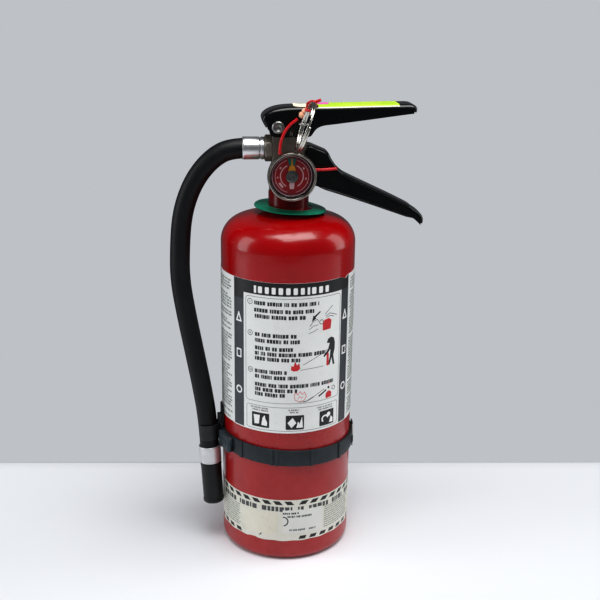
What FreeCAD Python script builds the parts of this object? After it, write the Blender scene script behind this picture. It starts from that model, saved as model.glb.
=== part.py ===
import FreeCAD, Part
import math
import os

V = FreeCAD.Vector

# Rechargeable dry-chemical hand extinguisher, millimetres.
# Origin: centre of the base on the cylinder axis. +Z up, -Y is the front (gauge and
# label side), +X is the side the lever and carrying handle point to, -X the hose side.

# ---------------------------------------------------------------- driving dimensions
CYL_R = 54.0            # cylinder outer radius
WALL = 1.5              # shell wall
FOOT_R = 7.0            # rounded edge at the bottom
SHOULDER_Z = 262.0      # end of the straight wall
KNUCKLE_R = 20.0        # shoulder knuckle
CROWN_R = 138.0         # shoulder crown
CROWN_CZ = 149.0        # centre of the crown sphere
NECK_R = 16.0           # threaded neck collar, outside
NECK_BORE = 12.6        # neck collar bore
NECK_TOP = 303.0
LABEL_Z = (116.5, 241.3)
LABEL_HALF = 112.0      # half wrap of the instruction label, degrees
LOW_LABEL_Z = (18.8, 56.4)
LOW_LABEL_HALF = 118.0
LABEL_T = 0.3
STRAP_Z = (87.9, 101.6)
STRAP_T = 2.0
GAUGE_Z = 318.6
GAUGE_R = 18.75
PIVOT = (-9.6, 353.3)   # lever pivot, x and z
PIN = (9.0, 357.0)      # pull pin axis, x and z
PIN_R = 2.35
OUTLET_Z = 335.7
HOSE_R = 7.95
RING_R = 18.6           # pull ring, middle of the wire
RING_TILT = 17.5        # lean of the ring's top towards +X, degrees
RING_YAW = -3.7         # turn of the ring's plane about the eye, degrees
RING_WIRE = 0.85
HOSE_PLANE = math.radians(8.0)

# hose centreline, corner points from the upper ferrule to the nozzle ferrule
HOSE_ROUTE = [(-30.0, 0.0, 335.7), (-45.0, 0.0, 335.7), (-58.4, -0.1, 329.1), (-70.3, -0.3, 316.4),
              (-78.8, -0.9, 300.7), (-84.3, -1.8, 282.1), (-86.4, -2.8, 258.5), (-87.0, -4.1, 231.3),
              (-82.3, -5.4, 201.2), (-76.6, -6.7, 170.6), (-71.0, -7.9, 140.0), (-66.5, -9.1, 109.9),
              (-65.0, -9.4, 79.8)]
NOZZLE_END = (-62.5, -11.4, 36.0)

out = {}


# ---------------------------------------------------------------- helpers
def cyl(p, d, r, h):
    return Part.makeCylinder(r, h, V(*p), V(*d))


def ring(p, d, ro, ri, h):
    return cyl(p, d, ro, h).cut(Part.makeCylinder(ri, h + 2, V(*p) - V(*d).normalize(), V(*d)))


def box(x, y, z):
    return Part.makeBox(x[1] - x[0], y[1] - y[0], z[1] - z[0], V(x[0], y[0], z[0]))


def face_xz(pts, y=0.0):
    w = Part.makePolygon([V(x, y, z) for x, z in pts] + [V(pts[0][0], y, pts[0][1])])
    return Part.Face(w)


def plate(pts, y0, y1):
    return face_xz(pts, y0).extrude(V(0, y1 - y0, 0))


def revolve(edges):
    return Part.Face(Part.Wire(edges)).revolve(V(0, 0, 0), V(0, 0, 1), 360)


def rev_poly(pts, angle=360.0, start=0.0):
    s = face_xz(pts).revolve(V(0, 0, 0), V(0, 0, 1), angle)
    if start:
        s.rotate(V(0, 0, 0), V(0, 0, 1), start)
    return s


def rev_y(pts, x, z):
    """Profile of (radius, y) turned about the line through (x, z) parallel to Y."""
    w = Part.makePolygon([V(x + r, y, z) for r, y in pts] + [V(x + pts[0][0], pts[0][1], z)])
    return Part.Face(w).revolve(V(x, 0, z), V(0, 1, 0), 360)


def seg(a, b):
    return Part.LineSegment(V(a[0], 0, a[1]), V(b[0], 0, b[1])).toShape()


def arc(a, m, b):
    return Part.Arc(V(a[0], 0, a[1]), V(m[0], 0, m[1]), V(b[0], 0, b[1])).toShape()


def arc_mid(c, r, a0, a1):
    a = math.radians((a0 + a1) / 2)
    return (c[0] + r * math.cos(a), c[1] + r * math.sin(a))


def fuse(shapes):
    s = shapes[0]
    for o in shapes[1:]:
        s = s.fuse(o)
    return s.removeSplitter()


def route_tube(points, r, label, share=0.45):
    """Round tube along straight runs joined by tangent arcs; prints the arc radii."""
    p = [V(*q) for q in points]
    edges, last, radii, total = [], p[0], [], 0.0
    for i in range(1, len(p) - 1):
        a, b = (p[i] - p[i - 1]), (p[i + 1] - p[i])
        la, lb = a.Length, b.Length
        ua, ub = V(a).normalize(), V(b).normalize()
        turn = math.acos(max(-1.0, min(1.0, ua.dot(ub))))
        rad = share * min(la, lb) / math.tan(turn / 2)
        t = share * min(la, lb)
        s, e = p[i] - ua * t, p[i] + ub * t
        bis = (ub - ua).normalize()
        centre = p[i] + bis * (rad / math.cos(turn / 2))
        mid = centre + (p[i] - centre).normalize() * rad
        edges.append(Part.LineSegment(last, s).toShape())
        edges.append(Part.Arc(s, mid, e).toShape())
        total += (s - last).Length + rad * turn
        radii.append(round(rad, 1))
        last = e
    edges.append(Part.LineSegment(last, p[-1]).toShape())
    total += (p[-1] - last).Length
    path = Part.Wire(edges)
    prof = Part.Wire([Part.makeCircle(r, p[0], (p[1] - p[0]))])
    tube = path.makePipeShell([prof], True, False)
    print(label, "radii", radii, "length", round(total, 1), "volume ratio",
          round(tube.Volume / (math.pi * r * r * total), 4), "valid", tube.isValid())
    return tube


# ---------------------------------------------------------------- pressure shell
def shell_side(off):
    """Meridian of the shell, moved inwards by off, from the axis round the foot to the neck."""
    r, k, c, f = CYL_R - off, KNUCKLE_R - off, CROWN_R - off, FOOT_R - off
    kc = (CYL_R - KNUCKLE_R, SHOULDER_Z)
    a = math.degrees(math.atan2(SHOULDER_Z - CROWN_CZ, kc[0]))
    tangent = (c * math.cos(math.radians(a)), CROWN_CZ + c * math.sin(math.radians(a)))
    fc = (CYL_R - FOOT_R, FOOT_R)
    neck = 14.0
    top = (neck, CROWN_CZ + math.sqrt(c * c - neck * neck))
    b = math.degrees(math.atan2(top[1] - CROWN_CZ, neck))
    dish = (0.0, 9.0 + off)
    rim = (43.0, off)
    e = [arc(dish, (24.0, 6.3 + off), rim), seg(rim, (fc[0], off)),
         arc((fc[0], off), arc_mid(fc, f, -90, 0), (r, fc[1])),
         seg((r, fc[1]), (r, SHOULDER_Z)),
         arc((r, SHOULDER_Z), arc_mid(kc, k, 0, a), tangent),
         arc(tangent, arc_mid((0, CROWN_CZ), c, a, b), top)]
    return e, dish, top


outer, dish_o, top_o = shell_side(0.0)
inner, dish_i, top_i = shell_side(WALL)
out["cylinder_shell"] = revolve(outer + [seg(top_o, top_i)] + list(reversed(inner)) + [seg(dish_i, dish_o)])

# neck collar: threaded spud welded into the shoulder, with its weld bead
zc = CROWN_CZ + math.sqrt(CROWN_R ** 2 - 14.0 ** 2) + 0.05
out["neck_collar"] = rev_poly([(NECK_BORE, 280.0), (13.92, 280.0), (13.92, zc), (18.2, zc - 0.42), (18.2, zc - 0.1),
                               (17.2, 287.6), (16.0, 290.0), (NECK_R, NECK_TOP - 0.8), (NECK_R - 0.8, NECK_TOP),
                               (NECK_BORE, NECK_TOP)])

# green service collar, loose on the neck, lying a little tilted
c = rev_poly([(17.6, -0.2), (18.4, -0.6), (28.2, -1.2), (28.75, -0.7), (28.75, -0.1), (28.3, 0.1), (18.4, 0.7), (17.6, 0.4)])
c.translate(V(1.4, 0, 289.3))
c.rotate(V(1.4, 0, 289.3), V(0, 1, 0), 4.4)
out["service_collar"] = c

# agent charge inside the shell, round the siphon tube
out["dry_chemical_charge"] = rev_poly([(7.6, 11.3), (24.0, 8.9), (36.0, 5.4), (43.0, 2.4), (46.6, 2.0), (50.2, 4.0), (51.9, 7.6),
                                       (52.1, 12.0), (52.1, 250.0), (7.6, 254.0)])

# ---------------------------------------------------------------- labels
def wrap(z, half, r, t, mid=-90.0):
    return rev_poly([(r, z[0]), (r + t, z[0]), (r + t, z[1]), (r, z[1])], 2 * half, mid - half)


out["instruction_label"] = wrap(LABEL_Z, LABEL_HALF, CYL_R + 0.06, LABEL_T)
out["lower_label"] = wrap(LOW_LABEL_Z, LOW_LABEL_HALF, CYL_R + 0.06, LABEL_T)
out["service_sticker"] = wrap((27.0, 45.0), 14.5, CYL_R + 0.06 + LABEL_T + 0.02, 0.12, -79.0)
out["worn_sticker"] = wrap((23.5, 46.5), 13.0, CYL_R + 0.06 + LABEL_T + 0.02, 0.12, -108.5)

# ---------------------------------------------------------------- strap, buckle, clip
sr = CYL_R + 0.15
strap = rev_poly([(sr, STRAP_Z[0]), (sr + STRAP_T, STRAP_Z[0]), (sr + STRAP_T, STRAP_Z[1]), (sr, STRAP_Z[1])])
for ang in (-126.0, -101.5, -97.5, -66.5, -44.0):
    rib = rev_poly([(sr + 1.0, STRAP_Z[0] - 0.0), (sr + STRAP_T + 0.7, STRAP_Z[0]), (sr + STRAP_T + 0.7, STRAP_Z[1]), (sr + 1.0, STRAP_Z[1])], 1.8, ang - 0.9)
    strap = strap.fuse(rib)
tail = rev_poly([(sr + STRAP_T + 0.1, 83.2), (sr + STRAP_T + 1.2, 83.2), (sr + STRAP_T + 1.5, 103.4), (sr + STRAP_T + 0.4, 103.4)], 13.0, -9.0)
loop = rev_poly([(sr + 1.0, 88.4), (sr + STRAP_T + 1.4, 88.4), (sr + STRAP_T + 1.4, 93.0), (sr + 1.0, 93.0)], 13.0, -9.0)
out["hose_strap"] = fuse([strap, tail, loop])
b0, b1 = sr + STRAP_T + 0.05, sr + STRAP_T + 4.0
buck = rev_poly([(b0, 88.6), (b1 - 0.6, 88.6), (b1, 89.4), (b1, 100.4), (b1 - 0.6, 101.2), (b0, 101.2)], 18.5, 195.8)
slot_ = rev_poly([(b0 + 1.2, 90.4), (b1 + 1.0, 90.4), (b1 + 1.0, 99.4), (b0 + 1.2, 99.4)], 2.2, 209.0)
buck = buck.cut(slot_)
out["strap_buckle"] = buck

p11, p12 = V(*HOSE_ROUTE[11]), V(*HOSE_ROUTE[12])
hd = (p11 - p12).normalize()                    # up along the hose at the clip
clip_mid = p12 + hd * ((101.0 - p12.z) / hd.z)
lo = clip_mid - hd * 6.6
collar = Part.makeCylinder(9.5, 13.2, lo, hd).cut(Part.makeCylinder(8.35, 16.0, lo - hd * 1.4, hd))
rad = V(clip_mid.x, clip_mid.y, 0).normalize()  # outwards from the cylinder
tang = V(-rad.y, rad.x, 0)
mouth_dir = (rad * math.cos(math.radians(-24)) + tang * math.sin(math.radians(-24))).normalize()
mt = V(-mouth_dir.y, mouth_dir.x, 0)
mw = 7.3
m0 = clip_mid + mouth_dir * 3.0
mouth = Part.makePolygon([m0 + mt * (mw - 1.5), m0 + mouth_dir * 9 + mt * (mw + 1.5), m0 + mouth_dir * 9 - mt * (mw + 1.5), m0 - mt * (mw - 1.5), m0 + mt * (mw - 1.5)])
mouth = Part.Face(mouth)
mouth.translate(V(0, 0, -12))
collar = collar.cut(mouth.extrude(V(0, 0, 24)))
az = math.degrees(math.atan2(clip_mid.y, clip_mid.x))
q0 = CYL_R + 0.5
grip = sr + STRAP_T + 0.1
back = rev_poly([(q0, 101.8), (q0 + 1.5, 101.8), (q0 + 1.5, 122.4), (q0 + 0.9, 123.6), (q0, 123.6)], 12.0, az - 6.0)
base = rev_poly([(q0, 86.2), (grip + 1.2, 86.2), (grip + 1.2, 107.0), (q0, 107.0), (q0, 101.8), (grip, 101.8), (grip, 87.7), (q0, 87.7)], 12.0, az - 6.0)
base = base.cut(Part.makeCylinder(8.35, 60.0, lo - hd * 14, hd))
web_pts = [rad * 54.8 + tang * 3.2, rad * 58.9 + tang * 3.2, rad * 58.9 - tang * 3.2, rad * 54.8 - tang * 3.2, rad * 54.8 + tang * 3.2]
web = Part.Face(Part.makePolygon([p + V(0, 0, 102.2) for p in web_pts])).extrude(V(0, 0, 12.5))
web = web.cut(Part.makeCylinder(8.35, 40.0, lo - hd * 4, hd))
out["hose_clip"] = fuse([collar, back, base, web])

# ---------------------------------------------------------------- valve
body = [cyl((0, 0, 283.0), (0, 0, 1), 12.5, 21.0),                     # threaded spigot
        cyl((0, 0, NECK_TOP + 0.1), (0, 0, 1), 15.6, 4.4),              # flange
        Part.makeCone(15.6, 12.0, 4.0, V(0, 0, NECK_TOP + 4.5), V(0, 0, 1)),
        box((-13.5, 20.5), (-9.0, 9.0), (308.0, 333.0)),
        box((-13.5, 13.0), (-9.0, 9.0), (330.0, 349.0)),
        cyl((0, 0, 345.0), (0, 0, 1), 6.0, 9.5),                        # stem guide
        cyl((-11.5, 0, OUTLET_Z), (-1, 0, 0), 8.4, 1.95),               # outlet boss
        cyl((-12.0, 0, OUTLET_Z), (-1, 0, 0), 6.4, 8.2),                # outlet thread
        cyl((0, -8.0, GAUGE_Z), (0, -1, 0), 8.6, 4.0),                  # gauge boss
        plate([(-15.3, 349.0), (-15.3, 356.2), (-12.6, 358.9), (-6.6, 358.9), (-4.0, 356.2), (-4.0, 346.0), (-13.5, 346.0)], -9.0, 9.0),
        plate([(4.6, 346.0), (4.6, 359.4), (5.8, 360.6), (11.9, 360.6), (13.0, 359.4), (13.0, 346.0)], -9.0, 9.0)]
hook = Part.makeBox(16.0, 18.0, 8.0, V(-8.0, 8.0, 326.0))
hook = hook.fuse(cyl((0, 26.0, 326.0), (0, 0, 1), 8.0, 8.0))
body.append(hook)
vb = fuse(body)
for s in (cyl((0, 0, 282.0), (0, 0, 1), 7.2, 19.0), cyl((0, 0, 300.0), (0, 0, 1), 6.6, 25.0),
          cyl((0, 0, 320.0), (0, 0, 1), 4.2, 12.0), cyl((0, 0, 329.0), (0, 0, 1), 6.0, 11.0),
          cyl((0, 0, 338.0), (0, 0, 1), 3.06, 20.0),
          cyl((0, 0, OUTLET_Z), (-1, 0, 0), 4.5, 30.0),
          cyl((0, 0, GAUGE_Z), (0, -1, 0), 4.9, 14.0),
          cyl((PIVOT[0], -20, PIVOT[1]), (0, 1, 0), 2.5, 40.0),
          cyl((PIN[0], -20, PIN[1]), (0, 1, 0), PIN_R + 0.07, 40.0),
          cyl((13.2, -20, 312.5), (0, 1, 0), 2.2, 40.0), cyl((13.2, -20, 322.5), (0, 1, 0), 2.2, 40.0),
          cyl((0, 25.0, 320.0), (0, 0, 1), 4.5, 20.0),
          ring((0, 0, NECK_TOP + 0.05), (0, 0, 1), 15.2, 13.0, 1.9)):
    vb = vb.cut(s)
out["valve_body"] = vb
out["neck_o_ring"] = Part.makeTorus(14.1, 0.9, V(0, 0, NECK_TOP + 0.97), V(0, 0, 1))

# stem, its seal and guide ring, return spring, siphon tube
stem = fuse([cyl((0, 0, 339.0), (0, 0, 1), 3.0, 25.4), Part.makeSphere(3.0, V(0, 0, 364.0)),
             cyl((0, 0, 322.0), (0, 0, 1), 2.4, 18.0), cyl((0, 0, 319.0), (0, 0, 1), 6.0, 3.4),
             cyl((0, 0, 313.5), (0, 0, 1), 3.4, 5.6)])
stem = stem.cut(ring((0, 0, 343.5), (0, 0, 1), 4.0, 2.2, 1.7))
out["valve_stem"] = stem
out["stem_o_ring"] = Part.makeTorus(2.62, 0.42, V(0, 0, 344.35), V(0, 0, 1))
out["stem_seat_seal"] = ring((0, 0, 322.45), (0, 0, 1), 5.9, 2.45, 2.45)
helix = Part.makeHelix(2.9, 14.5, 4.9)
prof = Part.Wire([Part.makeCircle(0.6, V(4.9, 0, 0), V(0, 1, 0.094))])
spring = Part.Wire(helix.Edges).makePipeShell([prof], True, True)
spring.translate(V(0, 0, 302.2))
print("spring valid", spring.isValid(), round(spring.Volume, 1))
out["stem_spring"] = spring
tube = rev_poly([(5.4, 14.0), (7.1, 14.0), (7.1, 300.5), (4.2, 300.5), (4.2, 299.0), (5.4, 298.0)])
notch = box((-8, 8), (-1.6, 1.6), (13.0, 18.0))
out["siphon_tube"] = tube.cut(notch)

# ---------------------------------------------------------------- pressure gauge, axis -Y
G = (0.0, GAUGE_Z)
out["gauge_case"] = fuse([rev_y([(0, -20.0), (17.6, -20.0), (18.0, -20.4), (18.0, -30.8), (17.0, -30.8), (17.0, -21.4), (0, -21.4)], *G),
                          cyl((0, -20.1, GAUGE_Z), (0, 1, 0), 4.75, 12.6)])
hx = Part.Face(Part.makePolygon([V(6.6 * math.cos(math.radians(60 * k)), -12.3, GAUGE_Z + 6.6 * math.sin(math.radians(60 * k))) for k in range(7)]))
out["gauge_case"] = fuse([out["gauge_case"], hx.extrude(V(0, -7.8, 0))])
out["gauge_bezel"] = rev_y([(18.05, -27.6), (18.75, -27.6), (18.75, -32.3), (18.1, -33.0), (16.4, -33.0), (15.7, -32.3), (15.7, -31.95), (18.05, -31.95)], *G)
out["gauge_lens"] = rev_y([(0, -31.9), (17.9, -31.9), (17.9, -30.95), (0, -30.95)], *G)
out["gauge_dial"] = rev_y([(1.6, -27.6), (16.9, -27.6), (16.9, -27.0), (1.6, -27.0)], *G)
out["gauge_hub"] = fuse([rev_y([(0, -30.3), (3.6, -30.3), (4.7, -29.9), (4.7, -29.3), (0, -29.3)], *G), cyl((0, -29.4, GAUGE_Z), (0, 1, 0), 0.95, 3.0)])
needle = fuse([rev_y([(1.0, -28.9), (3.4, -28.9), (3.4, -28.2), (1.0, -28.2)], *G),
               plate([(-2.1, GAUGE_Z + 2.4), (2.1, GAUGE_Z + 2.4), (0.5, GAUGE_Z + 13.8), (-0.5, GAUGE_Z + 13.8)], -28.8, -28.3),
               plate([(-1.3, GAUGE_Z - 6.2), (1.3, GAUGE_Z - 6.2), (1.6, GAUGE_Z - 2.4), (-1.6, GAUGE_Z - 2.4)], -28.8, -28.3)])
out["gauge_needle"] = needle.cut(cyl((0, -31, GAUGE_Z), (0, 1, 0), 1.02, 4.0))
coil = Part.makeTorus(9.5, 1.3, V(0, -24.0, GAUGE_Z), V(0, 1, 0), -180, 180, 290)
out["gauge_bourdon_tube"] = coil

# ---------------------------------------------------------------- handle and lever
LEV_O, LEV_I = 13.2, 11.4
HAN_O, HAN_I = 11.1, 9.35
lever_out = [(-14.4, 345.9), (-20.4, 355.4), (-22.0, 358.6), (-21.9, 360.6), (-20.6, 362.8), (-17.4, 365.1), (-13.6, 366.8), (-9.0, 368.0),
             (-3.0, 368.7), (4.0, 369.0), (32.0, 369.5), (85.0, 370.9), (94.6, 371.2), (97.2, 370.4), (98.2, 368.4), (97.4, 366.2), (95.0, 364.6),
             (91.5, 363.7), (55.5, 358.6), (34.8, 355.9), (26.0, 354.9), (22.4, 354.0), (19.6, 352.2), (17.6, 349.6), (16.4, 347.2), (15.9, 345.9)]
lever_in = [(-26.0, 340.0), (-26.0, 352.6), (-18.8, 356.8), (-20.0, 359.0), (-19.8, 360.4), (-18.8, 361.6), (-16.6, 363.3), (-12.9, 365.0), (-8.6, 366.2),
            (-2.8, 366.9), (4.0, 367.2), (32.0, 367.7), (85.0, 369.1), (94.0, 369.4), (95.6, 368.6), (95.4, 367.4), (93.4, 366.3), (93.4, 340.0)]
lever = plate(lever_out, -LEV_O, LEV_O).cut(plate(lever_in, -LEV_I, LEV_I))
lever = lever.cut(cyl((PIVOT[0], -20, PIVOT[1]), (0, 1, 0), 2.58, 40.0))
# the pin's hole is a short slot along the arc that the pin takes as the lever turns
lock = []
for k in range(0, 8):
    a = math.radians(-2.2 * k)
    dx, dz = PIN[0] - PIVOT[0], PIN[1] - PIVOT[1]
    lock.append(cyl((PIVOT[0] + dx * math.cos(a) + dz * math.sin(a), -20, PIVOT[1] - dx * math.sin(a) + dz * math.cos(a)), (0, 1, 0), PIN_R + 0.35, 40.0))
lever = lever.cut(fuse(lock))
out["operating_lever"] = lever
out["lever_label"] = plate([(5.0, 369.12), (32.0, 369.6), (85.0, 371.0), (90.5, 371.18), (90.5, 371.33), (85.0, 371.16), (32.0, 369.76), (5.0, 369.28)], -9.4, 9.4)

handle_out = [(11.2, 309.4), (11.2, 335.0), (13.0, 338.6), (15.4, 339.6), (30.4, 333.4), (32.2, 328.8), (37.6, 321.2), (42.2, 316.9), (52.6, 311.8), (68.0, 304.6), (83.6, 297.3),
              (97.0, 290.6), (100.6, 287.6), (103.6, 286.0), (106.6, 283.2), (107.8, 279.6), (107.0, 276.4), (105.4, 275.4), (103.4, 277.2), (99.2, 281.2),
              (88.0, 285.2), (76.4, 289.2), (53.2, 297.4), (21.1, 307.6)]
handle_in = [(9.0, 300.0), (9.0, 345.0), (13.6, 345.0), (13.6, 338.2), (15.4, 337.6), (29.0, 332.0), (29.2, 345.0), (42.4, 345.0), (42.4, 315.0), (52.0, 310.1), (67.3, 303.0), (82.9, 295.6),
             (96.2, 289.0), (99.9, 286.0), (102.8, 284.4), (105.2, 282.0), (106.0, 279.4), (105.6, 277.0), (104.0, 275.0), (98.0, 270.0), (20.0, 280.0)]
handle = plate(handle_out, -HAN_O, HAN_O).cut(plate(handle_in, -HAN_I, HAN_I))
for hz in (312.5, 322.5):
    handle = handle.cut(cyl((13.2, -20, hz), (0, 1, 0), 2.25, 40.0))
out["carry_handle"] = handle


def rivet(x, z, r, half, head_r, head_t, dimple):
    """Solid rivet along Y with a domed head at each end and a dimple in each."""
    s = cyl((x, -half - 0.2, z), (0, 1, 0), r, 2 * half + 0.4)
    for sgn in (-1, 1):
        y0 = sgn * (half + 0.1)
        prof_ = [(0, y0), (head_r, y0), (head_r, y0 + sgn * head_t * 0.45), (head_r * 0.82, y0 + sgn * head_t)]
        if dimple:
            prof_ += [(dimple + 0.5, y0 + sgn * head_t), (dimple, y0 + sgn * head_t * 0.35)]
            prof_ += [(0, y0 + sgn * head_t * 0.35)]
        else:
            prof_ += [(0, y0 + sgn * head_t * 1.1)]
        s = s.fuse(rev_y(prof_, x, z))
    return s.removeSplitter()


out["lever_pivot_rivet"] = rivet(PIVOT[0], PIVOT[1], 2.48, LEV_O + 0.1, 4.9, 2.0, 2.3)
r1 = rivet(13.2, 312.5, 2.15, HAN_O, 3.9, 1.9, 0)
r2 = rivet(13.2, 322.5, 2.15, HAN_O, 3.9, 1.9, 0)
out["handle_rivets"] = Part.makeCompound([r1, r2])

# ---------------------------------------------------------------- pull pin, ring and tamper seal
EYE = V(PIN[0], -20.0, PIN[1])
pin = fuse([cyl((PIN[0], -16.6, PIN[1]), (0, 1, 0), PIN_R, 32.0), Part.makeCone(PIN_R, 1.2, 1.4, V(PIN[0], 15.4, PIN[1]), V(0, 1, 0)),
            Part.makeTorus(3.2, 1.1, EYE, V(0, 0, 1))])
out["pull_pin"] = pin
yaw, tilt = math.radians(RING_YAW), math.radians(RING_TILT)
fwd = V(math.sin(yaw), -math.cos(yaw), 0)          # from the eye to the ring's centre
side = V(math.cos(yaw), math.sin(yaw), 0)
normal = side * math.cos(tilt) - V(0, 0, 1) * math.sin(tilt)
up = side * math.sin(tilt) + V(0, 0, 1) * math.cos(tilt)
centre = EYE + fwd * RING_R
t1 = Part.makeTorus(RING_R, RING_WIRE, centre + normal * 0.8, normal)
t2 = Part.makeTorus(RING_R, RING_WIRE, centre - normal * 0.8, normal)
out["pull_ring"] = t1.fuse(t2)


def on_ring(a, r=RING_R, n=0.0):
    """Point of the ring at angle a above the eye, going over the top."""
    return centre - fwd * (r * math.cos(math.radians(a))) + up * (r * math.sin(math.radians(a))) + normal * n


# lock head of the seal, beside the back of the ring, and its loop round the ring
lock_c = V(8.6, -16.9, 365.2)
ld = V(0.62, -0.05, 0.78).normalize()
out["seal_lock"] = fuse([Part.makeCylinder(2.9, 7.4, lock_c - ld * 3.7, ld), Part.makeCylinder(2.2, 9.4, lock_c - ld * 4.7, ld)])
q = on_ring(58.0)
q_up = (q - centre).normalize()
q_t = normal.cross(q_up)
out["seal_loop"] = Part.makeTorus(4.3, 0.8, q, q_t)
strand = [(3.7, -16.6, 359.3), (-0.6, -16.4, 356.2), (-5.0, -16.3, 350.6), (-7.6, -16.3, 343.6), (-8.6, -16.4, 336.6), (-8.4, -16.2, 330.6),
          (-4.6, -16.2, 327.4), (1.0, -16.2, 327.2), (6.6, -16.2, 326.6), (11.6, -16.4, 323.6), (17.4, -16.6, 321.6), (25.0, -16.2, 321.2), (36.0, -14.6, 321.9)]
out["seal_strand"] = route_tube(strand, 1.2, "seal_strand")

# ---------------------------------------------------------------- hose and nozzle
hexn = Part.Face(Part.makePolygon([V(-13.5, 10.4 * math.cos(math.radians(60 * k + 30)), OUTLET_Z + 10.4 * math.sin(math.radians(60 * k + 30))) for k in range(7)])).extrude(V(-5.7, 0, 0))
nut = hexn.common(cyl((-13.0, 0, OUTLET_Z), (-1, 0, 0), 10.05, 8.0)).cut(cyl((-12.0, 0, OUTLET_Z), (-1, 0, 0), 6.45, 9.0))
out["hose_coupling_nut"] = nut
out["coupling_gasket"] = ring((-20.25, 0, OUTLET_Z), (-1, 0, 0), 6.2, 3.6, 1.0)
fer = ring((-19.3, 0, OUTLET_Z), (-1, 0, 0), 8.8, 7.99, 17.3).fuse(ring((-19.3, 0, OUTLET_Z), (-1, 0, 0), 8.8, 6.5, 1.9))
fer = fer.removeSplitter()
out["upper_ferrule"] = fer.cut(ring((-22.2, 0, OUTLET_Z), (-1, 0, 0), 9.5, 8.3, 1.2))
out["hose_insert"] = ring((-21.35, 0, OUTLET_Z), (-1, 0, 0), 6.2, 3.8, 8.6)
out["discharge_hose"] = route_tube(HOSE_ROUTE, HOSE_R, "discharge_hose")

nz0, nz1 = V(*HOSE_ROUTE[12]), V(*NOZZLE_END)
nd = (nz1 - nz0).normalize()                     # down along the nozzle
f0 = nz0 - nd * 7.2
fs = Part.makeCylinder(8.95, 14.8, f0, nd).cut(Part.makeCylinder(8.35, 8.6, f0 - nd * 0.5, nd))
out["nozzle_ferrule"] = fs.cut(Part.makeCylinder(3.2, 20.0, f0, nd))
n0 = f0 + nd * 14.85
nl = (nz1 - n0).Length
noz = Part.makeCone(8.85, 8.45, nl - 1.2, n0, nd).fuse(Part.makeCone(8.45, 7.3, 1.2, n0 + nd * (nl - 1.2), nd))
noz = noz.cut(Part.makeCylinder(3.2, 12.0, n0 - nd, nd)).cut(Part.makeCone(3.2, 6.3, nl - 9.9, n0 + nd * 10.9, nd).fuse(Part.makeCylinder(6.3, 3.0, n0 + nd * (nl - 0.1), nd)))
out["nozzle"] = noz

os.makedirs("parts", exist_ok=True)
for name, s in sorted(out.items()):
    solids = s.Solids
    ok = s.isValid()
    print(f"{name:22s} solids {len(solids)} valid {ok} volume {s.Volume:.1f}")
    shape = solids[0] if len(solids) == 1 else Part.makeCompound(solids)
    shape.exportStep(os.path.join("parts", name + ".step"))
print(len(out), "nodes")
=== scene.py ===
import math
import random

import bmesh
import bpy
from mathutils import Matrix, Vector, noise


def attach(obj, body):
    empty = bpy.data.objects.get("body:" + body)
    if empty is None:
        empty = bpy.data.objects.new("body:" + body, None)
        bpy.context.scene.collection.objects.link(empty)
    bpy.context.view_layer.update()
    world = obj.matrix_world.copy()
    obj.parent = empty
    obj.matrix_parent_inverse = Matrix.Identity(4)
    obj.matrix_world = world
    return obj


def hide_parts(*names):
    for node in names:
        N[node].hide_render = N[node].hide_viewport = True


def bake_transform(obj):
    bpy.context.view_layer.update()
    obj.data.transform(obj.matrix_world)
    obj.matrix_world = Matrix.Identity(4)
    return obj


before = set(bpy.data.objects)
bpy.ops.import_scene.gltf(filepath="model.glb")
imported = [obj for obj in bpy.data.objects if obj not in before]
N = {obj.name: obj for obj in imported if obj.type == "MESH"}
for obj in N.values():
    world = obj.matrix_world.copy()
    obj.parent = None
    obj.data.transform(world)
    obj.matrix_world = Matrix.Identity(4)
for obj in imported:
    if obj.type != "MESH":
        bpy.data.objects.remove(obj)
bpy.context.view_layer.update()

random.seed(7)
SC = bpy.context.scene
PI = math.pi
MM = 0.001


# ------------------------------------------------------------------ camera
cam_data = bpy.data.cameras.new("camera")
cam = bpy.data.objects.new("camera", cam_data)
SC.collection.objects.link(cam)
SC.camera = cam
cam_data.sensor_width = 36.0
cam_data.lens = 59.1
cam_data.clip_start = 0.05
right = Vector((0.99528, -0.09603, 0.01388)).normalized()
fwd = Vector((0.095625, 0.946571, -0.307993)).normalized()
upv = right.cross(fwd).normalized()
right = fwd.cross(upv).normalized()
cam.matrix_world = Matrix(((right.x, upv.x, -fwd.x, -0.066985), (right.y, upv.y, -fwd.y, -0.765641),
                           (right.z, upv.z, -fwd.z, 0.459758), (0, 0, 0, 1)))


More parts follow.
